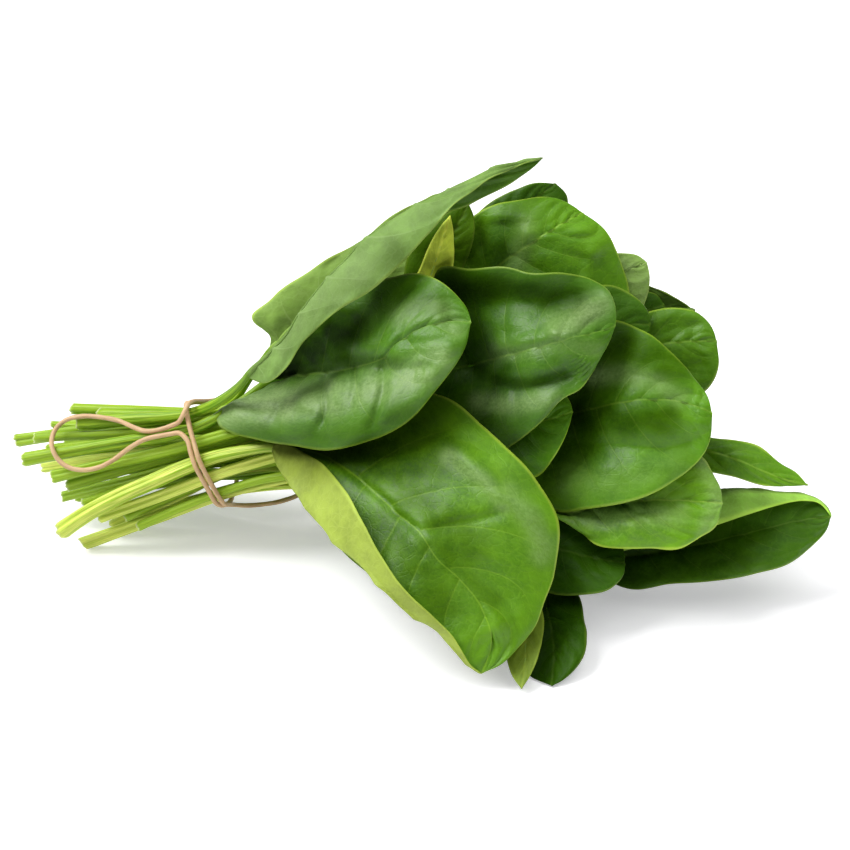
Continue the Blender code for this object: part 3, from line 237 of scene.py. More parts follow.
leaf("leaf_right_round", (46, 14, -8), (97.4, 28, 0),
     {-1.0: [(50, 22), (60, 31), (70, 36), (77, 38.7), (84, 39.4), (91, 38), (95.3, 33.7)],
      0.0: [(62, 22), (80, 27)],
      1.0: [(50, 8), (62, 5), (76, 5), (88, 7.5), (94.5, 12), (97.9, 20)]},
     arch=7, roll=-0.05, curl=-0.006, cup=(0.08, 0.08), seat=(2, 3), end=(-122, -10), r=1.9)
leaf("leaf_young_pale", (-3, 38, -6), (8.4, 69.6, -3),
     {-1.0: [(-4, 46), (-1, 54), (2.5, 61.5), (6, 67)],
      0.0: [(1, 47, 1), (4.5, 58, 1)],
      1.0: [(3, 40), (8, 48), (9.6, 55), (9.4, 63)]},
     arch=3, curl=-0.01, cup=(0.1, 0.1), seat=(1, 1), end=(-130, -3), r=1.6, under=True)
leaf("leaf_young_dark", (2, 43, -9), (14.5, 73.8, -6),
     {-1.0: [(-7, 48.5), (-6, 56), (1, 64.5), (9, 71.5)],
      0.0: [(4, 53), (9.5, 64)],
      1.0: [(8, 46), (14, 55), (16.4, 64), (16.2, 70)]},
     arch=2, curl=-0.01, cup=(0.1, 0.1), seat=(1, 2), end=(-126, -7), r=1.6)
leaf("leaf_top_round", (8, 40, -14), (52.5, 71, -10),
     {-1.0: [(7.5, 46), (7, 52), (9, 58), (12, 64.5), (16.3, 69.7), (23.7, 73.7), (31, 75.4), (40.7, 76.3), (47.5, 74.4)],
      0.0: [(20, 50), (33, 59), (44, 66)],
      1.0: [(14, 33), (26, 27), (42, 26), (56, 31), (66, 38), (67.9, 45), (66, 54), (62.5, 61), (58.5, 66.5)]},
     arch=10, roll=-0.1, curl=-0.004, cup=(0.07, 0.07), seat=(0, 1), end=(-135.3, -6.3), r=2.2)
leaf("leaf_top_behind", (6, 46, -22), (43.5, 80.6, -18),
     {-1.0: [(7, 54), (13, 66), (22, 74.5), (31, 79), (38, 80.9)],
      0.0: [(20, 60), (33, 72)],
      1.0: [(14, 42), (30, 48), (42, 60), (47.5, 70), (47.3, 77)]},
     arch=5, curl=-0.006, cup=(0.06, 0.06), seat=(1, 3), end=(-123, 1), r=1.9)
leaf("leaf_right_behind", (36, 32, -20), (73.8, 54, -16),
     {-1.0: [(38, 40), (50, 51), (60, 56.2), (66, 57), (71, 56.3)],
      0.0: [(50, 42), (64, 50)],
      1.0: [(42, 26), (56, 27), (68, 33), (73.7, 42), (74.6, 50)]},
     arch=5, curl=-0.006, cup=(0.06, 0.06), seat=(1, 4), end=(-118, 2), r=1.8, under=True)
leaf("leaf_right_tip", (50, 24, -20), (79.8, 40, -18),
     {-1.0: [(52, 32), (62, 41), (72, 45), (77.5, 43.6)],
      0.0: [(60, 31), (71, 37)],
      1.0: [(56, 18), (68, 21), (77, 28), (80.2, 35)]},
     arch=3, curl=-0.008, cup=(0.06, 0.06), seat=(2, 4), end=(-112, -8), r=1.7)
leaf("leaf_top_lobed", (-52, 24, -22), (8, 77, -20),
     {-1.0: [(-51.5, 29, 0), (-57.3, 36.3, 2), (-51.7, 41.7), (-37, 52.3), (-19.3, 63), (-12.3, 68.3), (-1.7, 74.2), (4, 76.8)],
      0.0: [(-46.3, 31), (-38.3, 38), (-25, 50), (-8.3, 65)],
      1.0: [(-46, 25), (-38, 24), (-24, 33), (-9, 47), (3, 62), (8.5, 71)]},
     arch=8, roll=-0.15, curl=-0.005, cup=(0.08, 0.05), seat=(0, 2), end=(-108, 1.5), r=2.2, under=True)
# inside the bunch, and its far side
plain_leaf("leaf_inner_upper", (2, 34, 62), (70, 40, 84), (0.3, -0.7, 0.6), 17, 17, arch=5, seat=(3, 3), end=(-106, -12), r=1.8)
plain_leaf("leaf_inner_middle", (0, 30, 44), (82, 36, 54), (0.1, -0.8, 0.5), 18, 17, arch=5, seat=(3, 4), end=(-113, -16), r=1.9)
plain_leaf("leaf_inner_lower", (4, 26, 26), (80, 26, 22), (0.1, -0.6, 0.8), 17, 17, arch=4, seat=(4, 3), end=(-116, -24), r=1.8)
plain_leaf("leaf_back_ground", (-18, 20, 14), (64, 42, 4), (0.0, 0.2, 1.0), 22, 20, arch=-3, back=-0.02, seat=(4, 4), end=(-105, -19), r=1.9)
plain_leaf("leaf_back_lower", (-8, 36, 32), (84, 54, 32), (0.0, 0.9, -0.2), 22, 20, arch=6, seat=(4, 5), end=(-114, -14), r=2.0)
plain_leaf("leaf_back_middle", (-4, 40, 44), (80, 58, 50), (0.0, 1.0, 0.1), 25, 24, arch=6, seat=(2, 5), end=(-119, -4), r=2.2)
plain_leaf("leaf_back_side", (-44, 22, 42), (12, 56, 62), (-0.3, 0.95, 0.25), 19, 20, arch=4, seat=(3, 5), end=(-107, -3), r=1.9)
plain_leaf("leaf_back_upper", (-6, 44, 58), (72, 68, 82), (0.0, 0.9, 0.35), 24, 24, arch=6, seat=(1, 5), end=(-111, 3), r=2.1)
plain_leaf("leaf_back_top", (-24, 36, 66), (38, 66, 102), (-0.3, 0.8, 0.5), 23, 24, arch=6, seat=(0, 3), end=(-117, 4.5), r=2.1)


# ------------------------------------------------------------ blade surfaces
def height(L, a, b):
    """The height c of a leaf's plain slope at a place on the board."""
    (a0, b0, c0), (a1, b1, c1) = L["base"], L["tip"]
    d = np.array([a1 - a0, b1 - b0], float)
    long = np.hypot(*d)
    d /= long
    s = ((a - a0) * d[0] + (b - b0) * d[1]) / long
    t = -(a - a0) * d[1] + (b - b0) * d[0]
    k = np.clip(s, 0.0, 1.0)
    return c0 + (c1 - c0) * s + 4 * L.get("arch", 0.0) * k * (1 - k) + L.get("roll", 0.0) * t + L.get("curl", 0.0) * t * t


def rail(L, v):
    """The points of one rail on the board, base and tip included."""
    if "lines" in L:
        return L["lines"][v]
    pts = [tuple(L["base"])]
    for p in L["rails"][v]:
        pts.append((p[0], p[1], height(L, p[0], p[1]) + (p[2] if len(p) > 2 else 0.0)))
    return np.array(pts + [tuple(L["tip"])], float)


def blade_grid(L, us, vs):
    """The middle surface of the blade on the board, at the shares us of its
    length and vs across it."""
    us, vs = np.asarray(us, float), np.asarray(vs, float)
    keys = sorted(L.get("lines") or L["rails"])
    lines = {v: spline(rail(L, v), us) for v in keys}
    out = np.zeros((len(us), len(vs), 3))
    cups = L.get("cup", (0.05, 0.05))
    for lo, hi, cup in ((-1.0, 0.0, cups[0]), (0.0, 1.0, cups[1])):
        group = [v for v in keys if lo <= v <= hi]
        mine = [j for j, v in enumerate(vs) if lo <= v <= hi]
        for i in range(len(us)):
            p = np.array([lines[v][i] for v in group])
            q = hermite(group, p, vs[mine])
            width = np.linalg.norm(p[-1] - p[0])
            share = np.abs(vs[mine])
            if len(group) == 2:
                q[:, 2] += cup * width * 4 * share * (1 - share)
            else:
                fold = max(abs(v) for v in group if abs(v) < 1)
                k = np.clip(share / fold, 0, 1)
                q[:, 2] += cup * width * 4 * k * (1 - k)
            out[i, mine] = q
    return out


def seat_at(L):
    """Where the leaf's stalk lies under the band, on the board."""
    row, col = L["seat"]
    p, n = ROWS[row], IN_ROW[row]
    q = np.linspace(COLS[row][1], COLS[row][0], n)[col]
    return np.array([TIE[0] - 0.354 * p - 0.35 * q, TIE[1] + 0.935 * p, TIE[2] + q])


def stalk_line(L, n):
    """The middle line of the stalk on the board, from its cut end to the
    blade: (points, share of the way at which it passes the band)."""
    seat, end = seat_at(L), np.array(L["end"] + (0.0,), float)
    row, col = L["seat"]
    q = np.linspace(COLS[row][1], COLS[row][0], IN_ROW[row])[col]
    end[2] = TIE[2] + (end[0] - TIE[0]) * 0.42 + q * 1.5 + L.get("fall", 0.0)
    base = np.array(L["base"], float)
    tip = spline(rail(L, 0.0), [0.06])[0]
    into = (base - tip) / np.linalg.norm(base - tip)
    gap = np.linalg.norm(base - seat)
    mid = base + into * gap * 0.35
    ahead = seat + (seat - end) / np.linalg.norm(seat - end) * gap * 0.22
    pts = [end, end * 0.5 + seat * 0.5, seat, ahead * 0.62 + mid * 0.38, ahead * 0.15 + mid * 0.85, base] if gap > 30 else [end, end * 0.5 + seat * 0.5, seat, base]
    pts = np.array(pts)
    long = np.concatenate([[0], np.cumsum(np.linalg.norm(np.diff(pts, axis=0), axis=1))])
    return spline(pts, np.linspace(0, 1, n)), long[2] / long[-1]


# ------------------------------------------------------------------ settling
# The leaves are laid from the outermost inwards.  A map of the board keeps
# the hindmost surface laid so far at each place, and each new leaf is bent
# back, smoothly, until it lies behind it with GAP to spare.
CELL = 0.8
A0, B0, NA, NB = -150.0, -105.0, 376, 263


def mid_column(G):
    """The column of a grid that lies on the midrib."""
    return {5: 2, 9: 3, 8: 4}[G.shape[1]]


def cells(p):
    return (
        np.clip(((p[..., 0] - A0) / CELL).astype(int), 0, NA - 1),
        np.clip(((p[..., 1] - B0) / CELL).astype(int), 0, NB - 1),
    )


def widen(m, n):
    """The lowest value within n cells, all round."""
    for _ in range(n):
        q = m.copy()
        q[1:] = np.minimum(q[1:], m[:-1])
        q[:-1] = np.minimum(q[:-1], m[1:])
        r = q.copy()
        r[:, 1:] = np.minimum(r[:, 1:], q[:, :-1])
        r[:, :-1] = np.minimum(r[:, :-1], q[:, 1:])
        m = r
    return m


def quads(G, d, step):
    """Points spread over every quad of a grid: their places, the quad each
    is in, and how steeply its surface stands to the line of sight."""
    nu, nv = G.shape[:2]
    P = G.copy()
    P[..., 2] -= d
    side = max(np.linalg.norm(np.diff(P, axis=0), axis=2).max(), 1.0), max(np.linalg.norm(np.diff(P, axis=1), axis=2).max(), 1.0)
    m, n = int(side[0] / step) + 2, int(side[1] / step) + 2
    fu, fv = np.linspace(0, 1, m)[:, None, None], np.linspace(0, 1, n)[None, :, None]
    pts, own, steep = [], [], []
    for i in range(nu - 1):
        for j in range(nv - 1):
            q = P[i, j] * (1 - fu) * (1 - fv) + P[i + 1, j] * fu * (1 - fv) + P[i, j + 1] * (1 - fu) * fv + P[i + 1, j + 1] * fu * fv
            x = np.cross(P[i + 1, j + 1] - P[i, j], P[i + 1, j] - P[i, j + 1])
            cos = abs(x[2]) / (np.linalg.norm(x) + 1e-9)
            pts.append(q.reshape(-1, 3))
            own.append(np.tile([i, j], (m * n, 1)))
            steep.append(np.full(m * n, min(1 / max(cos, 1e-3), 3.0)))
    return np.concatenate(pts), np.concatenate(own), np.concatenate(steep)


def tube(line, radii, d, step):
    """Points spread across a tube seen on the board: their places, the point
    of the line each belongs to, and the tube's half-depth there."""
    P = line.copy()
    P[:, 2] -= d
    long = np.concatenate([[0], np.cumsum(np.linalg.norm(np.diff(P, axis=0), axis=1))])
    t = np.linspace(0, long[-1], int(long[-1] / step) + 2)
    L = np.stack([np.interp(t, long, P[:, k]) for k in range(3)], axis=1)
    r = np.interp(t, long, radii)
    own = np.clip(np.searchsorted(long, t) - 1, 0, len(line) - 2)
    T = np.gradient(L[:, :2], axis=0)
    T /= np.linalg.norm(T, axis=1, keepdims=True) + 1e-9
    S = np.stack([-T[:, 1], T[:, 0]], axis=1)
    pts, owns, deep = [], [], []
    for w in np.linspace(-1, 1, 9):
        q = L.copy()
        q[:, :2] += S * (r * w)[:, None]
        pts.append(q)
        owns.append(own)
        deep.append(r * math.sqrt(max(1 - w * w, 0.04)))
    return np.concatenate(pts), np.concatenate(owns), np.concatenate(deep)


def smooth_over(need, rounds):
    """The least smooth bending that is everywhere at least what is needed."""
    d = need.copy()
    for _ in range(rounds):
        q = np.pad(d, 1, mode="edge")
        if d.ndim == 2:
            s = (q[:-2, 1:-1] + q[2:, 1:-1] + q[1:-1, :-2] + q[1:-1, 2:]) / 4
        else:
            s = (q[:-2] + q[2:]) / 2
        d = np.maximum(need, 0.5 * d + 0.5 * s)
    return d


def settle(items, gap=GAP, rounds=10, step=0.7, reach=2, times=3):
    """Bends each leaf back behind the blades of those laid before it, and
    its blade behind their stalks too.  An item is (grid, stalk line, stalk
    radii, rib radii); the grids and lines come back bent."""
    blades = np.full((NA, NB), 1e6)
    stalks = np.full((NA, NB), 1e6)
    out = []
    for G, line, radii, ribs in items:
        G, line = G.copy(), line.copy()
        nu, nv = G.shape[:2]
        mid = mid_column(G)
        for again in range(times):
            need = np.zeros((nu, nv))
            pts, own, steep = quads(G, np.zeros((nu, nv)), step)
            x, y = cells(pts)
            v = pts[:, 2] + steep * BLADE_T / 2 + gap - np.minimum(blades, stalks)[x, y]
            for di in (0, 1):
                for dj in (0, 1):
                    np.maximum.at(need, (own[:, 0] + di, own[:, 1] + dj), v)
            tneed = np.zeros(len(line))
            pts, own, deep = tube(line, radii, np.zeros(len(line)), step)
            x, y = cells(pts)
            v = pts[:, 2] + deep + gap * 0.5 - blades[x, y]
            for di in (0, 1):
                np.maximum.at(tneed, own + di, v)
            need, tneed = np.maximum(need, 0), np.maximum(tneed, 0)
            if max(need.max(), tneed.max()) < 0.02:
                break
            at_base = max(need[0].max(), tneed[-1])
            need[0], tneed[-1] = at_base, at_base
            d = smooth_over(need, rounds)
            e = smooth_over(tneed, rounds)
            at_base = max(d[0].max(), e[-1])
            for k, w in ((0, 1.0), (1, 0.5)):
                d[k] = np.maximum(d[k], at_base * w)
                e[-1 - k] = max(e[-1 - k], at_base * w)
            G[..., 2] -= d
            line[:, 2] -= e
        pts, own, steep = quads(G, np.zeros((nu, nv)), step)
        now = np.full((NA, NB), 1e6)
        x, y = cells(pts)
        np.minimum.at(now, (x, y), pts[:, 2] - steep * BLADE_T / 2)
        pts, own, deep = tube(G[:, mid], ribs, np.zeros(nu), step)
        x, y = cells(pts)
        np.minimum.at(now, (x, y), pts[:, 2] - deep)
        blades = np.minimum(blades, widen(now, reach))
        now = np.full((NA, NB), 1e6)
        pts, own, deep = tube(line, radii, np.zeros(len(line)), step)
        x, y = cells(pts)
        np.minimum.at(now, (x, y), pts[:, 2] - deep)
        stalks = np.minimum(stalks, widen(now, reach - 1))
        out.append((G, line, radii, ribs))
    return out


def spread_stalks(lines, radii, times=60, step=3.0):
    """Pushes stalks that would run into each other apart, sideways to both,
    keeping the end that carries the blade where it is."""
    lines = [line.copy() for line in lines]
    n = len(lines)
    m = [int(np.linalg.norm(np.diff(line, axis=0), axis=1).sum() / step) + 2 for line in lines]
    where = [np.linspace(0, len(line) - 1, k) for line, k in zip(lines, m)]
    seg = [np.minimum(w.astype(int), len(line) - 2) for w, line in zip(where, lines)]
    frac = [w - s for w, s in zip(where, seg)]
    who = np.concatenate([np.full(k, i) for i, k in enumerate(m)])
    R = np.concatenate([np.interp(w, np.arange(len(r)), r) for w, r in zip(where, radii)])
    for turn in range(times):
        P = np.concatenate([line[s] * (1 - f)[:, None] + line[s + 1] * f[:, None] for line, s, f in zip(lines, seg, frac)])
        if turn % 15 == 0:
            one, two = np.nonzero(np.triu(((P[:, None] - P[None]) ** 2).sum(2) < 13.0**2, 1) & (who[:, None] < who[None]))
        D = P[one] - P[two]
        dist = np.sqrt((D**2).sum(1)) + 1e-9
        short = R[one] + R[two] + STALK_GAP + 0.25 - dist
        hit = short > 0
        if not hit.any() or short.max() < 0.05:
            break
        push = D[hit] / dist[hit, None] * (short[hit] * 0.5)[:, None]
        move, count = np.zeros_like(P), np.zeros(len(P))
        np.add.at(move, one[hit], push)
        np.add.at(move, two[hit], -push)
        np.add.at(count, one[hit], 1)
        np.add.at(count, two[hit], 1)
        move /= np.maximum(count, 1)[:, None]
        at = 0
        for i in range(n):
            mv, s, f = move[at : at + m[i]], seg[i], frac[i]
            at += m[i]
            sums, weight = np.zeros_like(lines[i]), np.zeros(len(lines[i]))
            hit = np.linalg.norm(mv, axis=1) > 1e-6
            np.add.at(sums, s, mv * (1 - f)[:, None])
            np.add.at(sums, s + 1, mv * f[:, None])
            np.add.at(weight, s, (1 - f) * hit)
            np.add.at(weight, s + 1, f * hit)
            push = sums / np.maximum(weight, 0.6)[:, None]
            push = 0.7 * push + 0.3 * np.concatenate([push[:1], (push[:-2] + push[2:]) / 2, push[-1:]])
            push[-1] = 0
            push[-2] *= 0.5
            lines[i] += 0.9 * push
    return lines


def lay_out():
    items = []
    for L in LEAVES:
        us = np.linspace(0, 1, BLADE_RINGS + 1) ** 0.94
        G = blade_grid(L, us, L.get("cols", (-1.0, -0.5, 0.0, 0.5, 1.0)))
        line, tie = stalk_line(L, STALK_RINGS)
        r = L["r"]
        share = np.linspace(0, 1, STALK_RINGS)
        radii = r * (1 - 0.42 * np.clip((share - 0.35) / 0.65, 0, 1) ** 1.3)
        ribs = np.interp(us, [0, 0.1, 0.5, 1.0], [radii[-1], 0.7 * radii[-1], 0.7, 0.4])
        items.append((G, line, radii, ribs))
    for _ in range(3):
        lines = spread_stalks([i[1] for i in items], [i[2] for i in items])
        items = settle([(G, line, r, k) for (G, _, r, k), line in zip(items, lines)])
    lines = spread_stalks([i[1] for i in items], [i[2] for i in items])
    return [(G, line, r, k) for (G, _, r, k), line in zip(items, lines)]


# -------------------------------------------------------------- leaf solids
def unit(v):
    return v / np.maximum(np.linalg.norm(v, axis=-1, keepdims=True), 1e-12)


def leaf_solid(G, line, radii, ribs, under):
    """Rings of points from the cut end to the tip, and the faces between
    them.  Each ring runs along the side that faces the viewpoint from the
    left margin to the right one, and back along the other side."""
    W, S = place(G), place(line)
    nu, nv = W.shape[:2]
    # the way up out of the blade, at every grid point
    du, dv = np.gradient(W, axis=0), np.gradient(W, axis=1)
    N = unit(np.cross(dv, du))
    N[0] = N[1]
    N[-1] = N[-2]
    # frames along the stalk, carried back from the blade
    T = unit(np.gradient(S, axis=0))
    up = N[1].mean(0)
    ups = []
    for i in range(len(S) - 1, -1, -1):
        up = unit(up - T[i] * (up @ T[i]))
        ups.append(up)
    ups = np.array(ups[::-1])
    left = unit(np.cross(ups, T))
    shares = np.linspace(0, 1, nv)
    angle = np.pi * (0.1 + 0.8 * shares)
    rings = []
    for i in range(len(S)):
        top = S[i] + radii[i] * (np.cos(angle)[:, None] * left[i] + np.sin(angle)[:, None] * ups[i] * 0.92)
        low = S[i] + radii[i] * (np.cos(angle)[:, None] * left[i] - np.sin(angle)[:, None] * ups[i] * 0.92)
        rings.append(np.concatenate([top, low[::-1]]))
    dist = np.linalg.norm(W - W[:, mid_column(G)][:, None], axis=2)
    for i in range(1, nu - 1):
        edge = np.linspace(-1, 1, nv)
        t = BLADE_T * (1 - np.abs(edge) ** 4) + MARGIN_T * np.abs(edge) ** 4
        rib = ribs[i] * np.exp(-((dist[i] / (1.2 + ribs[i])) ** 2))
        above, below = t / 2, t / 2
        if under:
            above = above + rib
        else:
            below = below + rib
        top = W[i] + N[i] * above[:, None]
        low = W[i] - N[i] * below[:, None]
        rings.append(np.concatenate([top, low[::-1]]))
    m = 2 * nv
    verts = np.concatenate(rings + [W[-1, :1]])
    faces = [tuple(range(m))[::-1]]
    for i in range(len(rings) - 1):
        for k in range(m):
            faces.append((i * m + k, i * m + (k + 1) % m, (i + 1) * m + (k + 1) % m, (i + 1) * m + k))
    last = (len(rings) - 1) * m
    for k in range(m):
        faces.append((last + k, last + (k + 1) % m, len(verts) - 1))
    return verts, faces


# ------------------------------------------------------------------ the band
# Its plane across the tie, on the board: towards the viewpoint (q) and up (p).
TIE_P, TIE_Q = np.array([-0.354, 0.935, 0.0]), np.array([-0.35, 0.0, 1.0])
TIE_ALONG = np.array([0.93, 0.12, 0.34])
KNOT = 33.0            # degrees up from the front at which the free loop leaves
FREE_LOOP = ((-82.5, 0.6), (-87.5, -1.3), (-93.5, -2.0), (-97.5, -0.6), (-101.5, 1.2), (-107.5, 2.5), (-114.5, 2.9),
             (-119.8, 1.6), (-123.4, -1.8), (-124.5, -6.0), (-123.2, -10.2), (-119.8, -13.6), (-114.4, -15.0),
             (-109.0, -14.2), (-103.8, -11.6), (-98.4, -7.6), (-93.6, -4.9), (-87.2, -3.4), (-82.4, -2.6))


def around(line, radii, room, step=0.6):
    """Points on a tube's skin, room further out."""
    long = np.concatenate([[0], np.cumsum(np.linalg.norm(np.diff(line, axis=0), axis=1))])
    t = np.linspace(0, long[-1], int(long[-1] / step) + 2)
    P = np.stack([np.interp(t, long, line[:, k]) for k in range(3)], axis=1)
    r = np.interp(t, long, radii) + room
    T = unit(np.gradient(P, axis=0))
    A = unit(np.cross(T, [0.1, 0.2, 1.0]))
    B = np.cross(T, A)
    h = np.linspace(0, 2 * np.pi, 19)[:-1]
    return (P[:, None] + r[:, None, None] * (np.cos(h)[:, None] * A[:, None] + np.sin(h)[:, None] * B[:, None])).reshape(-1, 3)


def reach_round(cloud, shift, thick):
    """How far out the points of cloud reach round the tie in a slice of it:
    the slice's middle, and the reach at every third degree (0 is towards the
    viewpoint, 90 up)."""
    n = unit(np.cross(TIE_P, TIE_Q))
    at = np.array(TIE) + shift * TIE_ALONG
    rel = cloud - at
    rel = rel[np.abs(rel @ n) < thick]
    y = rel[:, 1] / TIE_P[1]
    x = rel[:, 2]
    pts = np.stack([x, y], axis=1)
    centre = (pts.max(0) + pts.min(0)) / 2
    look = np.radians(np.arange(0, 360, 3))
    h = ((pts - centre) @ np.stack([np.cos(look), np.sin(look)])).max(0)
    turn = np.cos(look[:, None] - look[None])
    out = np.where(turn > 0.05, h[None] / np.maximum(turn, 0.05), 1e9).min(1)
    return at + TIE_Q * centre[0] + TIE_P * centre[1], out


def band_path(items):
    """The middle line of the rubber band, a closed curve on the board: two
    turns side by side over the front of the stalks, the second of them slack
    underneath, where it strays towards the leaves, and a free loop that lies
    on the stalks towards their cut ends."""
    room = BAND_GAP + BAND_D / 2
    full = [(np.concatenate([line, G[1:3, mid_column(G)]]), np.concatenate([radii, ribs[1:3] + 0.4])) for G, line, radii, ribs in items]
    cloud = np.concatenate([around(line, radii, room) for line, radii in full])
    beside = BAND_D + 0.35
    slices = {}

    def point(angle, shift, more=0.0):
        key = round(shift, 1)
        if key not in slices:
            slices[key] = reach_round(cloud, key, BAND_D / 2 + 0.5)
        middle, out = slices[key]
        r = np.interp(angle % 360, np.arange(0, 363, 3), np.append(out, out[0])) + more
        w = math.radians(angle)
        return middle + TIE_Q * r * math.cos(w) + TIE_P * r * math.sin(w)

    pts = []
    for a in np.arange(KNOT - 20, KNOT - 360.1, -12.0):
        pts.append(point(a, SHIFT + beside * ease((KNOT - a - 220) / 110)))
    for a in np.arange(KNOT - 372, KNOT - 720 + 12, -12.0):
        k = (KNOT - 360 - a) / 360
        stray = STRAY * ease((k - 0.29) / 0.23) * (1 - ease((k - 0.56) / 0.32))
        sag = SAG * math.exp(-(((k - 0.425) / 0.095) ** 2))
        pts.append(point(a, SHIFT + beside * (1 + ease((k - 0.70) / 0.22)) + stray, sag))
    pts.append(point(KNOT + 9, SHIFT + beside * 1.7, beside * 0.75))
    pts.append(point(KNOT + 1, SHIFT + beside * 0.7, beside * 1.12))
    # the free loop: just clear of the stalks it lies on
    tubes = []
    for line, radii in full:
        long = np.concatenate([[0], np.cumsum(np.linalg.norm(np.diff(line, axis=0), axis=1))])
        t = np.linspace(0, long[-1], int(long[-1] / 0.5) + 2)
        tubes.append(np.stack([np.interp(t, long, line[:, k]) for k in range(3)] + [np.interp(t, long, radii)], axis=1))
    tubes = np.concatenate(tubes)
    loop = np.array(FREE_LOOP)
    fine = spline(np.column_stack([loop, np.zeros(len(loop))]), np.linspace(0, 1, 56))[:, :2]
    need = np.full(len(fine), -1e3)
    for i, q in enumerate(fine):
        d2 = ((tubes[:, :2] - q) ** 2).sum(1)
        reach = (tubes[:, 3] + room + 0.15) ** 2 - d2
        ok = reach > 0
        if ok.any():
            need[i] = (tubes[ok, 2] + np.sqrt(reach[ok])).max()
    need = np.maximum(need, need[need > -900].min())
    lift = smooth_over(need, 25)
    lift[:3] += np.array([0.55, 0.3, 0.1]) * beside
    return pts, np.column_stack([fine, lift])


def ease(x):
    x = min(max(x, 0.0), 1.0)
    return x * x * (3 - 2 * x)


def closed(points, spacing):
    """A smooth closed curve through the points, evenly spaced."""
    p = np.asarray(points, float)
    p = np.concatenate([p[-3:], p, p[:3]])
    x = np.concatenate([[0.0], np.cumsum(np.linalg.norm(np.diff(p, axis=0), axis=1) + 1e-6)])
    n = max(int((x[-4] - x[2]) / spacing), 12)
    return hermite(x, p, np.linspace(x[3], x[-3], n + 1)[:-1])


SHIFT = -5.4          # of the first turn from the tie's middle, along the bunch
STRAY = 25.0          # how far the slack turn strays towards the leaves
SAG = 7.0             # how far it hangs clear underneath


# ================================================================ fine leaves
FINE, FINE_BACK = 0.95, 1.3   # mm between points on the blades, seen and far side
THIN = 0.42                   # blade thickness
SKIN_GAP = 0.16               # least room between two blades
STALK_SIDES = 28

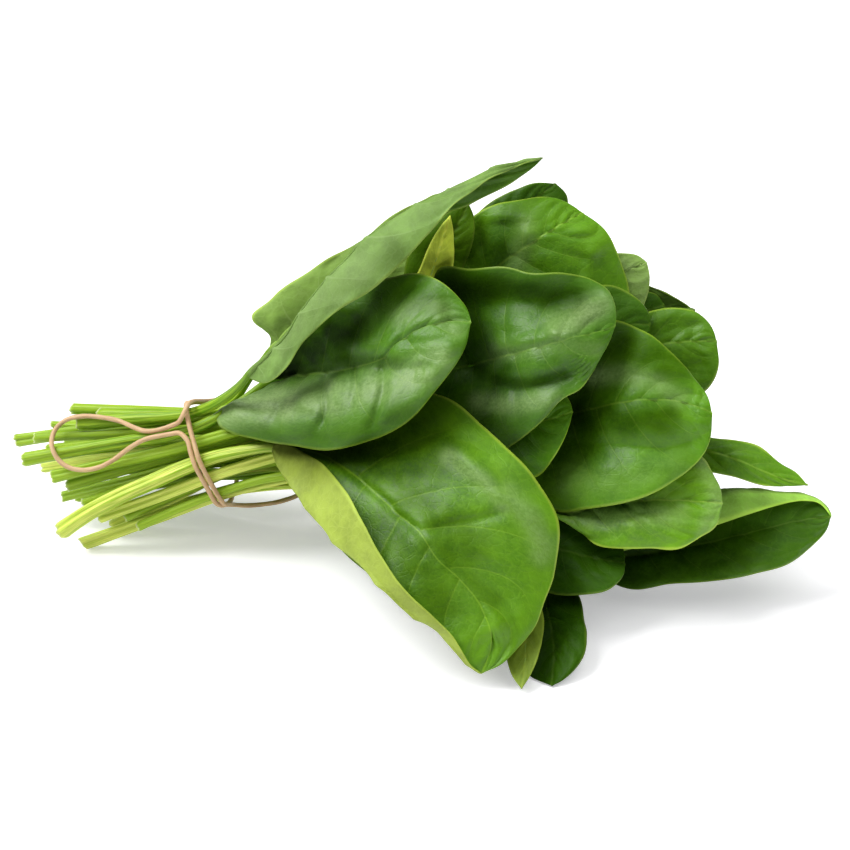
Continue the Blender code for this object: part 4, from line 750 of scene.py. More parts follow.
# How each leaf's surface goes, in millimetres: puff is the height of its
# blisters, cell their size, wave the ripple of its margin and roll the gentle
# swell of the whole blade; calm is how far from the stalk it starts, and lap
# where the blade is folded back over itself.  folds are soft ridges and hollows
# laid along lines on the board, as (height, width, [(a, b), ...]), + towards
# the upper side; creases are sharp ones, as (height, reach to the left of the
# line, reach to the right, [(a, b), ...]).  tuck is how far the blade is pressed
# back where another one lies over it; dim and reach are how strongly painted
# shade darkens its colour there and how far out that goes.  The tint multiplies
# the leaf's colour, partly its own green and partly painted light and shade; the
# folded back margin's multiplier brightens it with painted light.  The wash
# paints light and shade along lines, as (amount, width, [(a, b), ...]): + a
# painted pale sheen, - painted shade.
LOOKS = {
    "leaf_top_folded": dict(puff=1.0, cell=13, wave=0.8, roll=1.2, tint_and_light=(0.86, 0.86, 1.2),
        light_and_shade=[(-0.30, 4.5, [(-44, 26), (-34, 38), (-24, 48), (-10, 58)]), (0.20, 6.0, [(-50, 28), (-38, 40), (-22, 52)])]),
    "leaf_left_blistered": dict(puff=1.2, cell=12, wave=0.9, roll=1.0, tuck=5, tint_and_light=(1.15, 1.12, 1.1), dim=0.36, folds=[
        (-4.0, 8.0, [(-50, 22), (-38, 29), (-26, 37)]),
        (-2.6, 1.7, [(-33.5, 21), (-32.6, 12), (-33.5, 3), (-36, -2)]),
        (-2.4, 1.7, [(-14.6, 24), (-14.0, 14), (-15.8, 5), (-18, -1)]),
        (-2.0, 1.6, [(-48.5, 20), (-48, 12), (-49.5, 4), (-52, 0)]),
        (-1.8, 1.6, [(-24.5, 22), (-23.5, 13), (-25, 6)]),
        (1.2, 3.0, [(-2, 12), (6, 20), (10, 30)])],
        creases=[(-4.6, 6, 7, [(-66, 13), (-56, 14.5), (-46.4, 16.1), (-39.3, 16.7), (-33.3, 15.0), (-28, 18), (-23.8, 19.4), (-16.1, 18.5), (-9.5, 18.4), (4, 21)]),
                 (2.6, 7, 3.5, [(-17, 19), (-9.5, 29.2), (-3.6, 33.3), (9, 36.5)])],
        light_and_shade=[(0.56, 6.0, [(-70, 3), (-58, 6), (-46, 7)]), (0.42, 6.0, [(-50, 7), (-40, 8), (-32, 10)]), (0.40, 6.0, [(-32, 8), (-20, 12), (-8, 14), (4, 22)]),
              (0.22, 4.0, [(-8, 36), (4, 38), (10, 32)]),
              (-0.34, 4.5, [(-60, -3), (-46, -5), (-32, -5), (-18, -2), (-6, 3)]), (-0.32, 5.0, [(-14, 42), (-4, 43), (4, 40)]),
              (-0.84, 6.5, [(-46, 19), (-36, 26), (-26, 33)]), (-0.45, 2.5, [(-56, 16), (-40, 18.5), (-26, 21), (-10, 21)])]),
    "leaf_front_large": dict(puff=1.1, cell=18, wave=1.0, roll=1.8, calm=30, lap=0.7, tuck=5, tint_and_light=(1.25, 1.2, 1.0), dim=0.66, reach=10, folds=[
        (-1.1, 1.8, [(-34, -10), (-26, -14.5), (-18, -21), (-11, -28), (-2, -36), (4, -44)]),
        (2.6, 3.6, [(6, -6), (14, -12), (25.3, -23.1), (33.4, -28.5), (40.2, -36)]),
        (-1.2, 1.8, [(-2, -36), (8, -33), (18.5, -31.3), (28, -28.5)]),
        (-1.8, 5.0, [(6, -40), (16, -48), (26, -57), (30, -64)])],
        creases=[(3.2, 5, 12, [(-6, -30), (0, -37), (5.5, -46.2), (14, -54.5), (21.9, -61.9), (27, -74)])],
        light_and_shade=[(-0.50, 7.0, [(-34, -10), (-22, -12), (-8, -14), (6, -8)]), (-0.32, 4.0, [(2, -41), (12, -49), (22, -58)]),
              (0.30, 3.0, [(8, -11), (17, -17), (27, -27)]), (0.26, 4.0, [(27, -23), (35, -31), (39, -43)]),
              (-0.36, 6.5, [(-14, -34), (-5, -46), (6, -60)]), (-0.34, 6.0, [(-4, -26), (6, -32), (16, -40)])]),
    "leaf_middle_blistered": dict(puff=0.9, cell=14, wave=0.9, roll=1.0, tuck=4, dim=0.55, folds=[
        (1.8, 2.8, [(18, 25), (34.9, 28.4), (44.8, 30.2), (58, 28.4)]),
        (-5.0, 6.0, [(2, 36), (14, 40), (30, 41), (44, 41), (54, 45)]),
        (0.9, 1.0, [(28, 12), (27.8, 8), (28.6, 3)]),
        (0.9, 1.0, [(21, 13.5), (22, 9), (20, 4)])],
        creases=[(-6.5, 4, 7, [(8, 30), (13, 22), (16.5, 18.0), (20.8, 14.0), (29.4, 11.8), (38.6, 13), (44.8, 14.8), (54, 23)]),
                 (2.6, 3.5, 8, [(40, 29), (52, 37), (64, 45)])],
        light_and_shade=[(-0.62, 6.0, [(2, 45), (20, 46), (36, 44), (50, 41)]), (-0.42, 5.0, [(13, 35), (19, 25), (25, 19)]),
              (-0.50, 2.2, [(16, 20), (24, 15), (34, 14), (46, 17)]), (0.30, 3.5, [(18, 8), (30, 7), (43, 9)]),
              (0.40, 4.5, [(44, 33), (52, 36), (59, 40)]), (0.16, 3.0, [(24, 24), (36, 25), (48, 27), (58, 25)])]),
    "leaf_small_middle": dict(puff=0.9, cell=12, wave=0.6, roll=0.7, tint_and_light=(1.7, 1.7, 1.3)),
    "leaf_right_large": dict(puff=0.9, cell=15, wave=0.9, roll=1.2, tuck=6, tint_and_light=(1.15, 1.2, 0.9), dim=0.66, reach=10,
        creases=[(-4.2, 8, 7, [(40, 6), (50, 13), (55.3, 15.5), (66.3, 16.7), (81.8, 13.6), (96, 6)]),
                 (-6.0, 7, 10, [(34, -3), (44, -4), (48.5, -5.5), (63.3, -6.7), (78.7, -8), (96, -3)])],
        light_and_shade=[(-0.52, 5.5, [(46, 3), (58, 2), (68, 1), (80, 2)]), (-0.45, 6.0, [(46, 26), (51, 16), (49, 6)]), (-0.45, 5.5, [(60, 27), (72, 25), (84, 19)]),
              (0.26, 3.4, [(57, 16), (66, 17), (76, 14), (85, 9)]), (0.10, 6.0, [(50, -18), (66, -18), (84, -14)])]),
    "leaf_right_crinkled": dict(puff=1.9, cell=10.5, wave=1.2, roll=0.9, tuck=1, tint_and_light=(1.9, 1.75, 1.6), folds=[
        (1.6, 1.6, [(50, -22), (62, -18), (76, -17), (88, -21)])],
        creases=[(-2.0, 5, 6, [(40, -27), (48, -27), (62, -25.5), (80, -25), (98, -27)])],
        light_and_shade=[(0.34, 3.5, [(93, -13), (98, -24), (94, -34)]), (0.20, 5.0, [(50, -30), (66, -30), (84, -30)])]),
    "leaf_low_small": dict(puff=1.3, cell=10, wave=0.8, roll=0.6, tuck=5, tint_and_light=(0.75, 0.80, 0.8), dim=0.6),
    "leaf_drooping_pale": dict(puff=0.6, cell=8, wave=0.4, roll=0.4),
    "leaf_drooping_dark": dict(puff=1.2, cell=11, wave=0.6, roll=0.6, tuck=6, tint_and_light=(0.55, 0.58, 0.6), dim=0.6),
    "leaf_right_pointed": dict(puff=0.9, cell=12, wave=0.6, roll=0.6, tuck=1, tint_and_light=(1.4, 1.35, 1.2)),
    "leaf_right_behind": dict(puff=0.8, cell=12, wave=0.6, roll=0.6, tuck=1, tint_and_light=(1.4, 1.4, 1.5), light_and_shade=[(0.30, 6.0, [(66, 52), (73, 48), (74, 40)])]),
    "leaf_right_folded": dict(puff=1.1, cell=12, wave=0.8, roll=0.9, calm=20, lap=-0.7, tint_and_light=(0.8, 0.85, 0.8), flap_light=3.4,
        light_and_shade=[(-0.5, 8.0, [(66, -46), (80, -46), (96, -44), (110, -36)])]),
    "leaf_behind_middle": dict(puff=1.2, cell=12, wave=0.7, roll=0.8),
    "leaf_right_round": dict(puff=1.2, cell=12, wave=0.8, roll=0.9, tuck=2, tint_and_light=(1.15, 1.15, 1.0), folds=[
        (-2.2, 4.0, [(80, 30), (87, 33), (92, 30)])],
        creases=[(-2.4, 6, 6, [(70, 24), (76, 22), (84, 19), (96, 22)])]),
    "leaf_young_pale": dict(puff=0.5, cell=9, wave=0.4, roll=0.3, tuck=0, tint_and_light=(2.8, 2.3, 2.6), dim=0.05),
    "leaf_young_dark": dict(puff=0.5, cell=9, wave=0.4, roll=0.3, tint_and_light=(0.5, 0.6, 0.5)),
    "leaf_top_round": dict(puff=1.3, cell=14, wave=1.0, roll=1.2, tuck=3, tint_and_light=(1.42, 1.4, 1.1), dim=0.26, folds=[
        (1.8, 2.6, [(29, 48), (32, 58), (34, 68)]),
        (1.2, 2.4, [(50, 44), (55, 52), (56, 60)])],
        creases=[(-2.4, 6, 5, [(22, 46), (26, 56), (27, 70)])],
        light_and_shade=[(0.22, 4.0, [(29, 48), (32, 58), (34, 66)]), (-0.4, 6.0, [(8, 44), (10, 54), (16, 64)])]),
    "leaf_top_behind": dict(puff=1.1, cell=11, wave=0.7, roll=0.7),
    "leaf_top_lobed": dict(puff=0.9, cell=12, wave=0.8, roll=0.9, tint_and_light=(1.4, 1.35, 1.6)),
}
PLAIN_LOOK = dict(puff=1.2, cell=12, wave=0.8, roll=0.9)


def sway(x, y, seed, size, count=7):
    """A smooth, repeatable unevenness between about -1 and 1, with swells
    about size across."""
    rng = np.random.RandomState(seed)
    out = np.zeros(np.broadcast(x, y).shape)
    for k in range(count):
        t = rng.uniform(0, 2 * np.pi)
        f = 2 * np.pi / (size * rng.uniform(0.7, 1.6))
        out += np.sin((x * math.cos(t) + y * math.sin(t)) * f + rng.uniform(0, 2 * np.pi))
    return out / math.sqrt(count)


def cell_edges(q, r, seed, loose):
    """How far each place is from the nearest edge between cells, in cells:
    one cell for each unit of q and r, its middle loosely placed."""
    qi, ri = np.floor(q).astype(int), np.floor(r).astype(int)
    lo_q, lo_r = qi.min() - 2, ri.min() - 2
    rng = np.random.RandomState(seed)
    jit = rng.uniform(-1, 1, (qi.max() - lo_q + 4, ri.max() - lo_r + 4, 2)) * np.array(loose)
    one, two = np.full(q.shape, 1e9), np.full(q.shape, 1e9)
    for dq in (-2, -1, 0, 1, 2):
        for dr in (-2, -1, 0, 1, 2):
            a, b = qi + dq, ri + dr
            j = jit[np.clip(a - lo_q, 0, jit.shape[0] - 1), np.clip(b - lo_r, 0, jit.shape[1] - 1)]
            d = np.hypot(a + 0.5 + j[..., 0] - q, b + 0.5 + j[..., 1] - r)
            two = np.minimum(two, np.maximum(one, d))
            one = np.minimum(one, d)
    return (two - one) / 2


def to_line(A, B, pts, sided=False):
    """Distance on the board from each place to a line through pts, how far
    along it, 0 to 1, the nearest point is, and on which side, +1 for left."""
    t = np.linspace(0, 1, 60)
    p = spline(np.column_stack([np.array(pts, float), np.zeros(len(pts))]), t)[:, :2]
    d = np.full(A.shape, 1e9)
    at = np.zeros(A.shape)
    for k in range(len(t)):
        e = np.hypot(A - p[k, 0], B - p[k, 1])
        hit = e < d
        d[hit] = e[hit]
        at[hit] = t[k]
    if not sided:
        return d, at
    T = np.gradient(p, axis=0)
    near = np.round(at * (len(t) - 1)).astype(int)
    left = T[near, 0] * (B - p[near, 1]) - T[near, 1] * (A - p[near, 0])
    return d, at, np.sign(left)


def between(x0, D, x):
    return hermite(np.asarray(x0, float), np.asarray(D, float), np.asarray(x, float))


def fine_leaf(L, G, line, radii, number):
    """A leaf's blade at full detail: its middle surface on the board with the
    blisters in it, and what is known at each point of it."""
    look = dict(PLAIN_LOOK)
    look.update(LOOKS.get(L["name"], {}))
    back = L["name"].startswith(("leaf_back", "leaf_inner")) or L["name"] == "leaf_under"
    step = FINE_BACK if back else FINE
    us0 = np.linspace(0, 1, BLADE_RINGS + 1) ** 0.94
    vs0 = np.array(L.get("cols", (-1.0, -0.5, 0.0, 0.5, 1.0)))
    W0 = place(G)
    long = np.linalg.norm(np.diff(W0[:, mid_column(G)], axis=0), axis=1).sum()
    wide = np.linalg.norm(np.diff(W0, axis=1), axis=2).sum(1).max()
    nu = int(long / step) + 8
    nv = 2 * int(wide / step / 2 + 2) + 1
    us = np.linspace(0, 1, nu) ** 0.94
    k = np.linspace(-1, 1, nv)
    vs = np.sign(k) * np.abs(k) ** 1.06
    F = blade_grid(L, us, vs)
    # the same bending back that the plain leaf got
    D = (G - blade_grid(L, us0, vs0))[..., 2]
    D = between(us0, D, us)
    D = between(vs0, D.T, vs).T
    F[..., 2] += D
    W = place(F)
    du, dv = np.gradient(W, axis=0), np.gradient(W, axis=1)
    N = unit(np.cross(dv, du))
    N[0], N[-1] = N[2], N[-2]
    N[1] = N[2]
    m = nv // 2
    along = np.concatenate([[0], np.cumsum(np.linalg.norm(np.diff(W[:, m], axis=0), axis=1))])
    seg = np.linalg.norm(np.diff(W, axis=1), axis=2)
    s = np.concatenate([np.zeros((nu, 1)), np.cumsum(seg, axis=1)], axis=1)
    s = s - s[:, m:m + 1]
    x = np.repeat(along[:, None], nv, axis=1)
    v = np.repeat(vs[None], nu, axis=0)
    av = np.abs(v)
    # the side veins: P counts them along the leaf
    rng = np.random.RandomState(100 + number)
    starts = np.array([-0.06, 0.02, 0.09, 0.20, 0.33, 0.46, 0.59, 0.71, 0.82, 0.92, 1.02])
    P = np.zeros((nu, nv))
    for side in (-1, 1):
        mine = np.nonzero(np.sign(vs) == side)[0] if side < 0 else np.nonzero(vs >= 0)[0]
        X0 = starts + rng.uniform(-0.018, 0.018, len(starts)) + (0.03 if side > 0 else -0.01)
        sweep = 0.02 + 0.20 * np.clip(np.arange(len(starts)) / 6.0, 0, 1) + rng.uniform(-0.03, 0.03, len(starts))
        for j in mine:
            g = av[0, j] * (0.7 + 0.3 * av[0, j])
            X = np.maximum.accumulate((X0 + sweep * g) * along[-1] + np.arange(len(X0)) * 0.01)
            P[:, j] = np.interp(along, X, np.arange(len(X0)))
    gu = np.gradient(P, axis=0) / np.maximum(np.linalg.norm(du, axis=2), 0.05)
    gv = np.zeros_like(P)
    gv[:, :m] = np.gradient(P[:, :m], axis=1)
    gv[:, m + 1:] = np.gradient(P[:, m + 1:], axis=1)
    gv /= np.maximum(np.linalg.norm(dv, axis=2), 0.05)
    slope = np.maximum(np.hypot(gu, gv), 0.02)
    dl = np.abs(P - np.round(P)) / slope
    # blisters between them
    cell = look["cell"]
    q = P + 0.13 * sway(x, s, 300 + number, 22)
    r = s / cell + 40.5 + 0.20 * sway(x, s, 400 + number, 20)
    e1 = cell_edges(q, r, 500 + number, (0.12, 0.34)) * cell
    e2 = cell_edges(2.2 * q + 3, 2.1 * r, 600 + number, (0.30, 0.36)) * cell / 2.15
    inner = 1 - np.clip((av - 0.80) / 0.2, 0, 1) ** 2
    first = np.clip(x / look.get("calm", 12.0), 0, 1) * np.clip((along[-1] - x) / 9.0, 0, 1)
    near = np.clip(x / min(5.0, look.get("calm", 12.0)), 0, 1) if "calm" not in look else first
    big = 1 - np.exp(-((e1 / (0.30 * cell)) ** 1.6))
    little = 1 - np.exp(-((e2 / (0.15 * cell)) ** 1.6))
    uneven = 0.75 + 0.35 * sway(x, s, 700 + number, 26)
    H = look["puff"] * (0.90 * big * uneven + 0.12 * little) * inner * first
    H -= look["puff"] * 0.35
    H -= (0.32 * np.exp(-((dl / 0.7) ** 2)) * (1 - 0.6 * av) + 0.5 * np.exp(-((s / 1.3) ** 2)) * np.clip(1.15 - x / along[-1], 0, 1)) * first
    # the broad relief goes in and out along the board's depth
    big = look["roll"] * 0.6 * sway(x, s, 800 + number, 42, 5) * first
    for height_mm, width, pts in look.get("folds", ()):
        d, at = to_line(F[..., 0], F[..., 1], pts)
        ends = np.clip(np.minimum(at, 1 - at) / 0.18, 0, 1)
        big += height_mm * np.exp(-((d / width) ** 2)) * (0.35 + 0.65 * ends) * first
    for height_mm, to_left, to_right, pts in look.get("creases", ()):
        d, at, left = to_line(F[..., 0], F[..., 1], pts, True)
        ends = np.clip(np.minimum(at, 1 - at) / 0.15, 0, 1)
        ends = ends * ends * (3 - 2 * ends)
        reach = np.where(left > 0, to_left, to_right)
        big += height_mm * np.exp(-(np.sqrt(d * d + 0.8) - 0.9) / reach) * ends * near
    # the margin ripples
    rim = np.clip((av - 0.62) / 0.38, 0, 1) ** 1.6
    ripple = np.sin(x * 2 * np.pi / 17.0 + v * 2.0 + number) * 0.5 + 0.7 * sway(x + 31 * v, s * 0.2, 900 + number, 15, 5)
    H += look["wave"] * rim * ripple * first
    if "lap" in look:
        # beyond the fold the blade lies back over itself, nearly flat
        over = np.clip((v * np.sign(look["lap"]) - abs(look["lap"])) / 0.08, 0, 1)
        H *= 1 - 0.75 * over
        big *= 1 - 0.75 * over
    else:
        over = np.zeros_like(H)
    # painted light along the wash lines: + paints a pale sheen, - paints shade
    painted_light, painted_shade = np.zeros_like(H), np.ones_like(H)
    patchy = 1 + 0.16 * sway(x, s, 1000 + number, 9, 6)
    for amount, width, pts in look.get("light_and_shade", ()):
        d, at = to_line(F[..., 0], F[..., 1], pts)
        w = np.exp(-((d / width) ** 2.6)) * np.clip(patchy, 0.5, 1.5)
        if amount > 0:
            painted_light = np.maximum(painted_light, amount * w)
        else:
            painted_shade *= 1 + amount * np.clip(w, 0, 1)
    side = -1.0 if L.get("under") else 1.0
    W = W + N * (side * H)[..., None]
    F = board(W)
    F[..., 2] += side * big
    if "lap" in look:
        F[..., 2] += 1.3 * over * np.exp(-((x / 40.0) ** 2))
    F[0] = F[0, m]
    F[-1] = F[-1, m]
    rib = np.interp(us, [0, 0.08, 0.35, 0.86, 1.0], [radii[-1], 0.74 * radii[-1], 0.75, 0.34, 0.2])
    if side < 0:
        rib = rib * np.interp(us, [0, 0.08, 0.25], [1.0, 0.62, 0.42])
    t = np.linspace(0, 1, 26)
    line = spline(line, t)
    radii = np.interp(t, np.linspace(0, 1, len(radii)), radii)
    return dict(L=L, F=F, x=x, s=s, v=v, P=P, dl=dl, H=H, along=along, side=side, m=m, number=number, line=line, radii=radii, rib=rib, tuck=0.0 if back else look.get("tuck", 3.0),
                over=over, shade=np.ones_like(H), flap_light=look.get("flap_light", 1.0), dim=look.get("dim", 0.42), reach=look.get("reach", 7.5), painted_light=painted_light * (1 - over), painted_shade=painted_shade)


def smooth_to(d, rounds):
    """A grid of numbers, each averaged with its neighbours rounds times."""
    for _ in range(rounds):
        e = np.pad(d, 1, mode="edge")
        d = 0.5 * d + 0.125 * (e[:-2, 1:-1] + e[2:, 1:-1] + e[1:-1, :-2] + e[1:-1, 2:])
    return d


def fine_settle(leaves, gap=SKIN_GAP, rounds=14):
    """The coarse settling again, on every point of the finished blades."""
    blades = np.full((NA, NB), 1e6)
    stalks = np.full((NA, NB), 1e6)
    for leaf_ in leaves:
        F, line, radii = leaf_["F"], leaf_["line"], leaf_["radii"]
        front = np.minimum(blades, stalks)
        if (blades < 1e5).any():
            # painted shade: the blade's colour is darkened where another blade lies over it
            far = np.where(blades < 1e5, 0.0, 99.0)
            for k in range(22):
                far = np.minimum(far, widen(far, 1) + CELL)
            leaf_["shade"] = 1 - leaf_["dim"] * smooth_to(np.exp(-((far[cells(F)] / leaf_["reach"]) ** 1.5)), 5)
        if leaf_["tuck"] and (blades < 1e5).any():
            # pressed back under the blades that lie over it
            far = np.where(blades < 1e5, 0.0, 99.0)
            for k in range(14):
                far = np.minimum(far, widen(far, 1) + CELL)
            t = np.clip(leaf_["x"] / 15.0, 0, 1)
            F[..., 2] -= smooth_to(leaf_["tuck"] * np.exp(-((far[cells(F)] / 6.5) ** 2)), 6) * t
        for again in range(3):
            need = np.zeros(F.shape[:2])
            x = np.cross(F[1:, 1:] - F[:-1, :-1], F[1:, :-1] - F[:-1, 1:])
            steep = np.clip(np.linalg.norm(x, axis=2) / (np.abs(x[..., 2]) + 1e-9), 1, 3)
            back = steep * THIN / 2
            for fa, fb in ((0.5, 0.5), (0.0, 0.0), (0.5, 0.0), (0.0, 0.5), (0.25, 0.75), (0.75, 0.25)):
                p = F[:-1, :-1] * (1 - fa) * (1 - fb) + F[1:, :-1] * fa * (1 - fb) + F[:-1, 1:] * (1 - fa) * fb + F[1:, 1:] * fa * fb
                v = p[..., 2] + back + gap - front[cells(p)]
                for di in (0, 1):
                    for dj in (0, 1):
                        n = need[di:need.shape[0] - 1 + di, dj:need.shape[1] - 1 + dj]
                        np.maximum(n, v, out=n)
            tneed = np.zeros(len(line))
            pts, own, deep = tube(line, radii, np.zeros(len(line)), 0.6)
            v = pts[:, 2] + deep + gap - blades[cells(pts)]
            for di in (0, 1):
                np.maximum.at(tneed, own + di, v)
            need, tneed = np.maximum(need, 0), np.maximum(tneed, 0)
            need[0], need[-1] = need[1].mean(), need[-2].mean()
            if max(need.max(), tneed.max()) < 0.02:
                break
            tneed[-1] = max(tneed[-1], need[:2].mean())
            d, e = smooth_over(need, rounds), smooth_over(tneed, 10)
            F[..., 2] -= d
            line[:, 2] -= e
            # keep the blade on its stalk
            off = F[0, leaf_["m"], 2] - line[-1, 2]
            if off < 0:
                line[:, 2] += off * np.linspace(0, 1, len(line)) ** 4
            else:
                F[..., 2] -= off * np.exp(-leaf_["x"] / 8.0)
        x = np.cross(F[1:, 1:] - F[:-1, :-1], F[1:, :-1] - F[:-1, 1:])
        steep = np.clip(np.linalg.norm(x, axis=2) / (np.abs(x[..., 2]) + 1e-9), 1, 3)
        deep = steep * THIN / 2
        if leaf_["side"] > 0:
            rib = leaf_["rib"][:-1, None]
            deep = deep + rib * 1.3 * np.exp(-((leaf_["s"][:-1, :-1] / (rib + 0.5)) ** 2))
        now = np.full((NA, NB), 1e6)
        for fa, fb in ((0.5, 0.5), (0.0, 0.0), (0.5, 0.0), (0.0, 0.5)):
            p = F[:-1, :-1] * (1 - fa) * (1 - fb) + F[1:, :-1] * fa * (1 - fb) + F[:-1, 1:] * (1 - fa) * fb + F[1:, 1:] * fa * fb
            np.minimum.at(now, cells(p), p[..., 2] - deep)
        blades = np.minimum(blades, widen(now, 1))
        now = np.full((NA, NB), 1e6)
        pts, own, thick = tube(line, radii, np.zeros(len(line)), 0.6)
        np.minimum.at(now, cells(pts), pts[:, 2] - thick)
        stalks = np.minimum(stalks, widen(now, 1))
    return leaves


# ------------------------------------------------------------------- meshes
def grid_faces(nu, nv, start, flip=False, wrap=False):
    i, j = np.meshgrid(np.arange(nu - 1), np.arange(nv if wrap else nv - 1), indexing="ij")
    k = (j + 1) % nv
    f = np.stack([start + i * nv + j, start + i * nv + k, start + (i + 1) * nv + k, start + (i + 1) * nv + j], axis=-1).reshape(-1, 4)
    return f[:, ::-1] if flip else f


def leaf_mesh(leaf_, shift):
    """Vertices, faces and what the material reads at each vertex: flat (mm
    along and across), vein (P, |v|, seed) and part (stalk, underside, rim)."""
    F, s, v, along, m = leaf_["F"], leaf_["s"], leaf_["v"], leaf_["along"], leaf_["m"]
    side, number = leaf_["side"], leaf_["number"]
    W = place(F)
    du, dv = np.gradient(W, axis=0), np.gradient(W, axis=1)
    N = unit(np.cross(dv, du)) * side
    N[0], N[-1] = N[2], N[-2]
    N[1] = N[2]
    nu, nv = s.shape
    av = np.abs(v)
    t = THIN * (1 - 0.45 * np.clip((av - 0.9) / 0.1, 0, 1) ** 2)
    vein = 0.22 * np.exp(-((leaf_["dl"] / 0.55) ** 2)) * (1 - 0.7 * av) * np.clip(leaf_["x"] / 8, 0, 1)
    top = W + N * (t / 2)[..., None]
    low = W - N * (t / 2 + vein)[..., None]
    verts, faces, flat, veins, part = [], [], [], [], []

    def add(p, f, fl, ve, pa):
        verts.append(p.reshape(-1, 3))
        faces.extend(map(tuple, f))
        flat.append(fl.reshape(-1, 3))
        veins.append(ve.reshape(-1, 3))
        part.append(pa.reshape(-1, 3))

    fl = np.stack([leaf_["x"], s, np.full_like(s, number)], axis=-1)
    ve = np.stack([leaf_["P"], av, leaf_["H"]], axis=-1)
    rim = np.zeros_like(s)
    rim[:, :2] = rim[:, -2:] = 0.5
    rim[:, 0] = rim[:, -1] = 1.0
    rim[-2:] = 0.55
    zero = np.zeros_like(s)
    turn = side < 0
    add(top, grid_faces(nu, nv, 0, turn), fl, ve, np.stack([zero, zero, rim], axis=-1))
    n = nu * nv
    add(low, grid_faces(nu, nv, n, not turn), fl, ve, np.stack([zero, zero + 1, rim], axis=-1))
    # round the margin from the upper skin to the lower one
    ring = [i * nv for i in range(nu)] + [(nu - 1) * nv + j for j in range(1, nv)] + [i * nv + nv - 1 for i in range(nu - 2, -1, -1)] + list(range(nv - 2, 0, -1))
    for a, b in zip(ring, ring[1:] + ring[:1]):
        faces.append((b, a, n + a, n + b) if turn else (a, b, n + b, n + a))
    second = len(faces)
    # stalk and midrib: one tapering cord
    S = place(leaf_["line"])
    S = spline(S, np.linspace(0, 1, 54))
    r0 = hermite(np.linspace(0, 1, len(leaf_["radii"])), leaf_["radii"][:, None], np.linspace(0, 1, 54))[:, 0]
    keep = int(nu * 0.86)
    up_mid = N[:keep, m]
    rib = leaf_["rib"][:keep]
    sink = rib * (0.35 + 0.60 * np.clip(along[:keep] / 14.0, 0, 1) * (side > 0)) + 0.2 * np.clip(along[:keep] / 14.0, 0, 1) * (side > 0)
    mid = W[:keep, m] - up_mid * sink[:, None]
    mid[0] = S[-1]
    pick = np.unique(np.concatenate([np.arange(1, keep, 2)]))
    line = np.concatenate([S, mid[pick]])
    rad = np.concatenate([r0, rib[pick]])
    far = np.concatenate([[0], np.cumsum(np.linalg.norm(np.diff(line, axis=0), axis=1))])
    even = np.linspace(0, far[-1], int(far[-1] / 1.5))
    line = np.stack([np.interp(even, far, line[:, k]) for k in range(3)], axis=1)
    rad = np.interp(even, far, rad)
    for _ in range(3):
        line[1:-1] = 0.5 * line[1:-1] + 0.25 * (line[:-2] + line[2:])
    T = unit(np.gradient(line, axis=0))
    base = np.interp(far[len(S) - 1], even, np.arange(len(even)))
    ups = np.zeros_like(line)
    up = N[2, m]
    start = int(base)
    for i in range(start, -1, -1):
        up = unit(up - T[i] * (up @ T[i]))
        ups[i] = up
    up = ups[start]
    for i in range(start + 1, len(line)):
        up = unit(up - T[i] * (up @ T[i]))
        near = N[min(int((even[i] - far[len(S) - 1]) / max(along[-1], 1) * nu), nu - 1), m]
        up = unit(0.7 * up + 0.3 * near)
        up = unit(up - T[i] * (up @ T[i]))
        ups[i] = up
    lefts = np.cross(ups, T)
    K = STALK_SIDES
    h = 2 * np.pi * np.arange(K) / K
    rng = np.random.RandomState(50 + number)
    gone = far[len(S) - 1] - even                    # mm before the blade
    out = np.clip(gone / 12.0, 0, 1)
    # lengthwise ribs, and a channel along the upper side
    lobes = 0.045 * np.cos(7 * h + rng.uniform(0, 6)) + 0.03 * np.cos(11 * h + rng.uniform(0, 6)) + 0.035 * np.cos(3 * h + rng.uniform(0, 6))
    channel = -0.42 * np.exp(-((np.minimum(np.abs(h - np.pi / 2), 2 * np.pi - np.abs(h - np.pi / 2)) / 0.42) ** 2))
    flare = 0.10 * np.exp(-even / 7.0) + 0.035 * np.sin(even / 9.0 + number)
    shape = 1 + out[:, None] * (lobes[None] + channel[None] * np.clip(gone / 25.0, 0.2, 1)[:, None]) + flare[:, None] * out[:, None]
    R = rad[:, None] * shape
    ring3 = line[:, None] + R[..., None] * (np.cos(h)[None, :, None] * lefts[:, None] + 0.94 * np.sin(h)[None, :, None] * ups[:, None])
    # the cut: slanting and a little ragged
    slant = rng.uniform(-0.5, 0.5, 2)
    cut = R[0] * (slant[0] * np.cos(h) + slant[1] * np.sin(h)) + 0.22 * np.sin(5 * h + number) + 0.15 * np.sin(9 * h)
    for i, w in ((0, 1.0), (1, 0.45)):
        ring3[i] += T[0] * (cut * w * 0.8)[:, None]
    count = sum(len(q) for q in verts)
    n1 = len(line)
    sx = np.repeat(-gone[:, None], K, axis=1)
    sy = np.repeat((h * 2.2)[None], n1, axis=0)
    stalkness = np.clip(0.5 + gone / 16.0, 0.25, 1)
    pa = np.stack([np.repeat(stalkness[:, None], K, axis=1), np.repeat((0.5 - 0.5 * np.sin(h))[None], n1, axis=0), np.zeros((n1, K))], axis=-1)
    pa[0, :, 2] = 1.0
    fs = grid_faces(n1, K, count, False, True)
    add(ring3, fs, np.stack([sx, sy, np.full_like(sx, number)], axis=-1), np.stack([np.full_like(sx, 0.5), np.zeros_like(sx), np.zeros_like(sx)], axis=-1), pa)
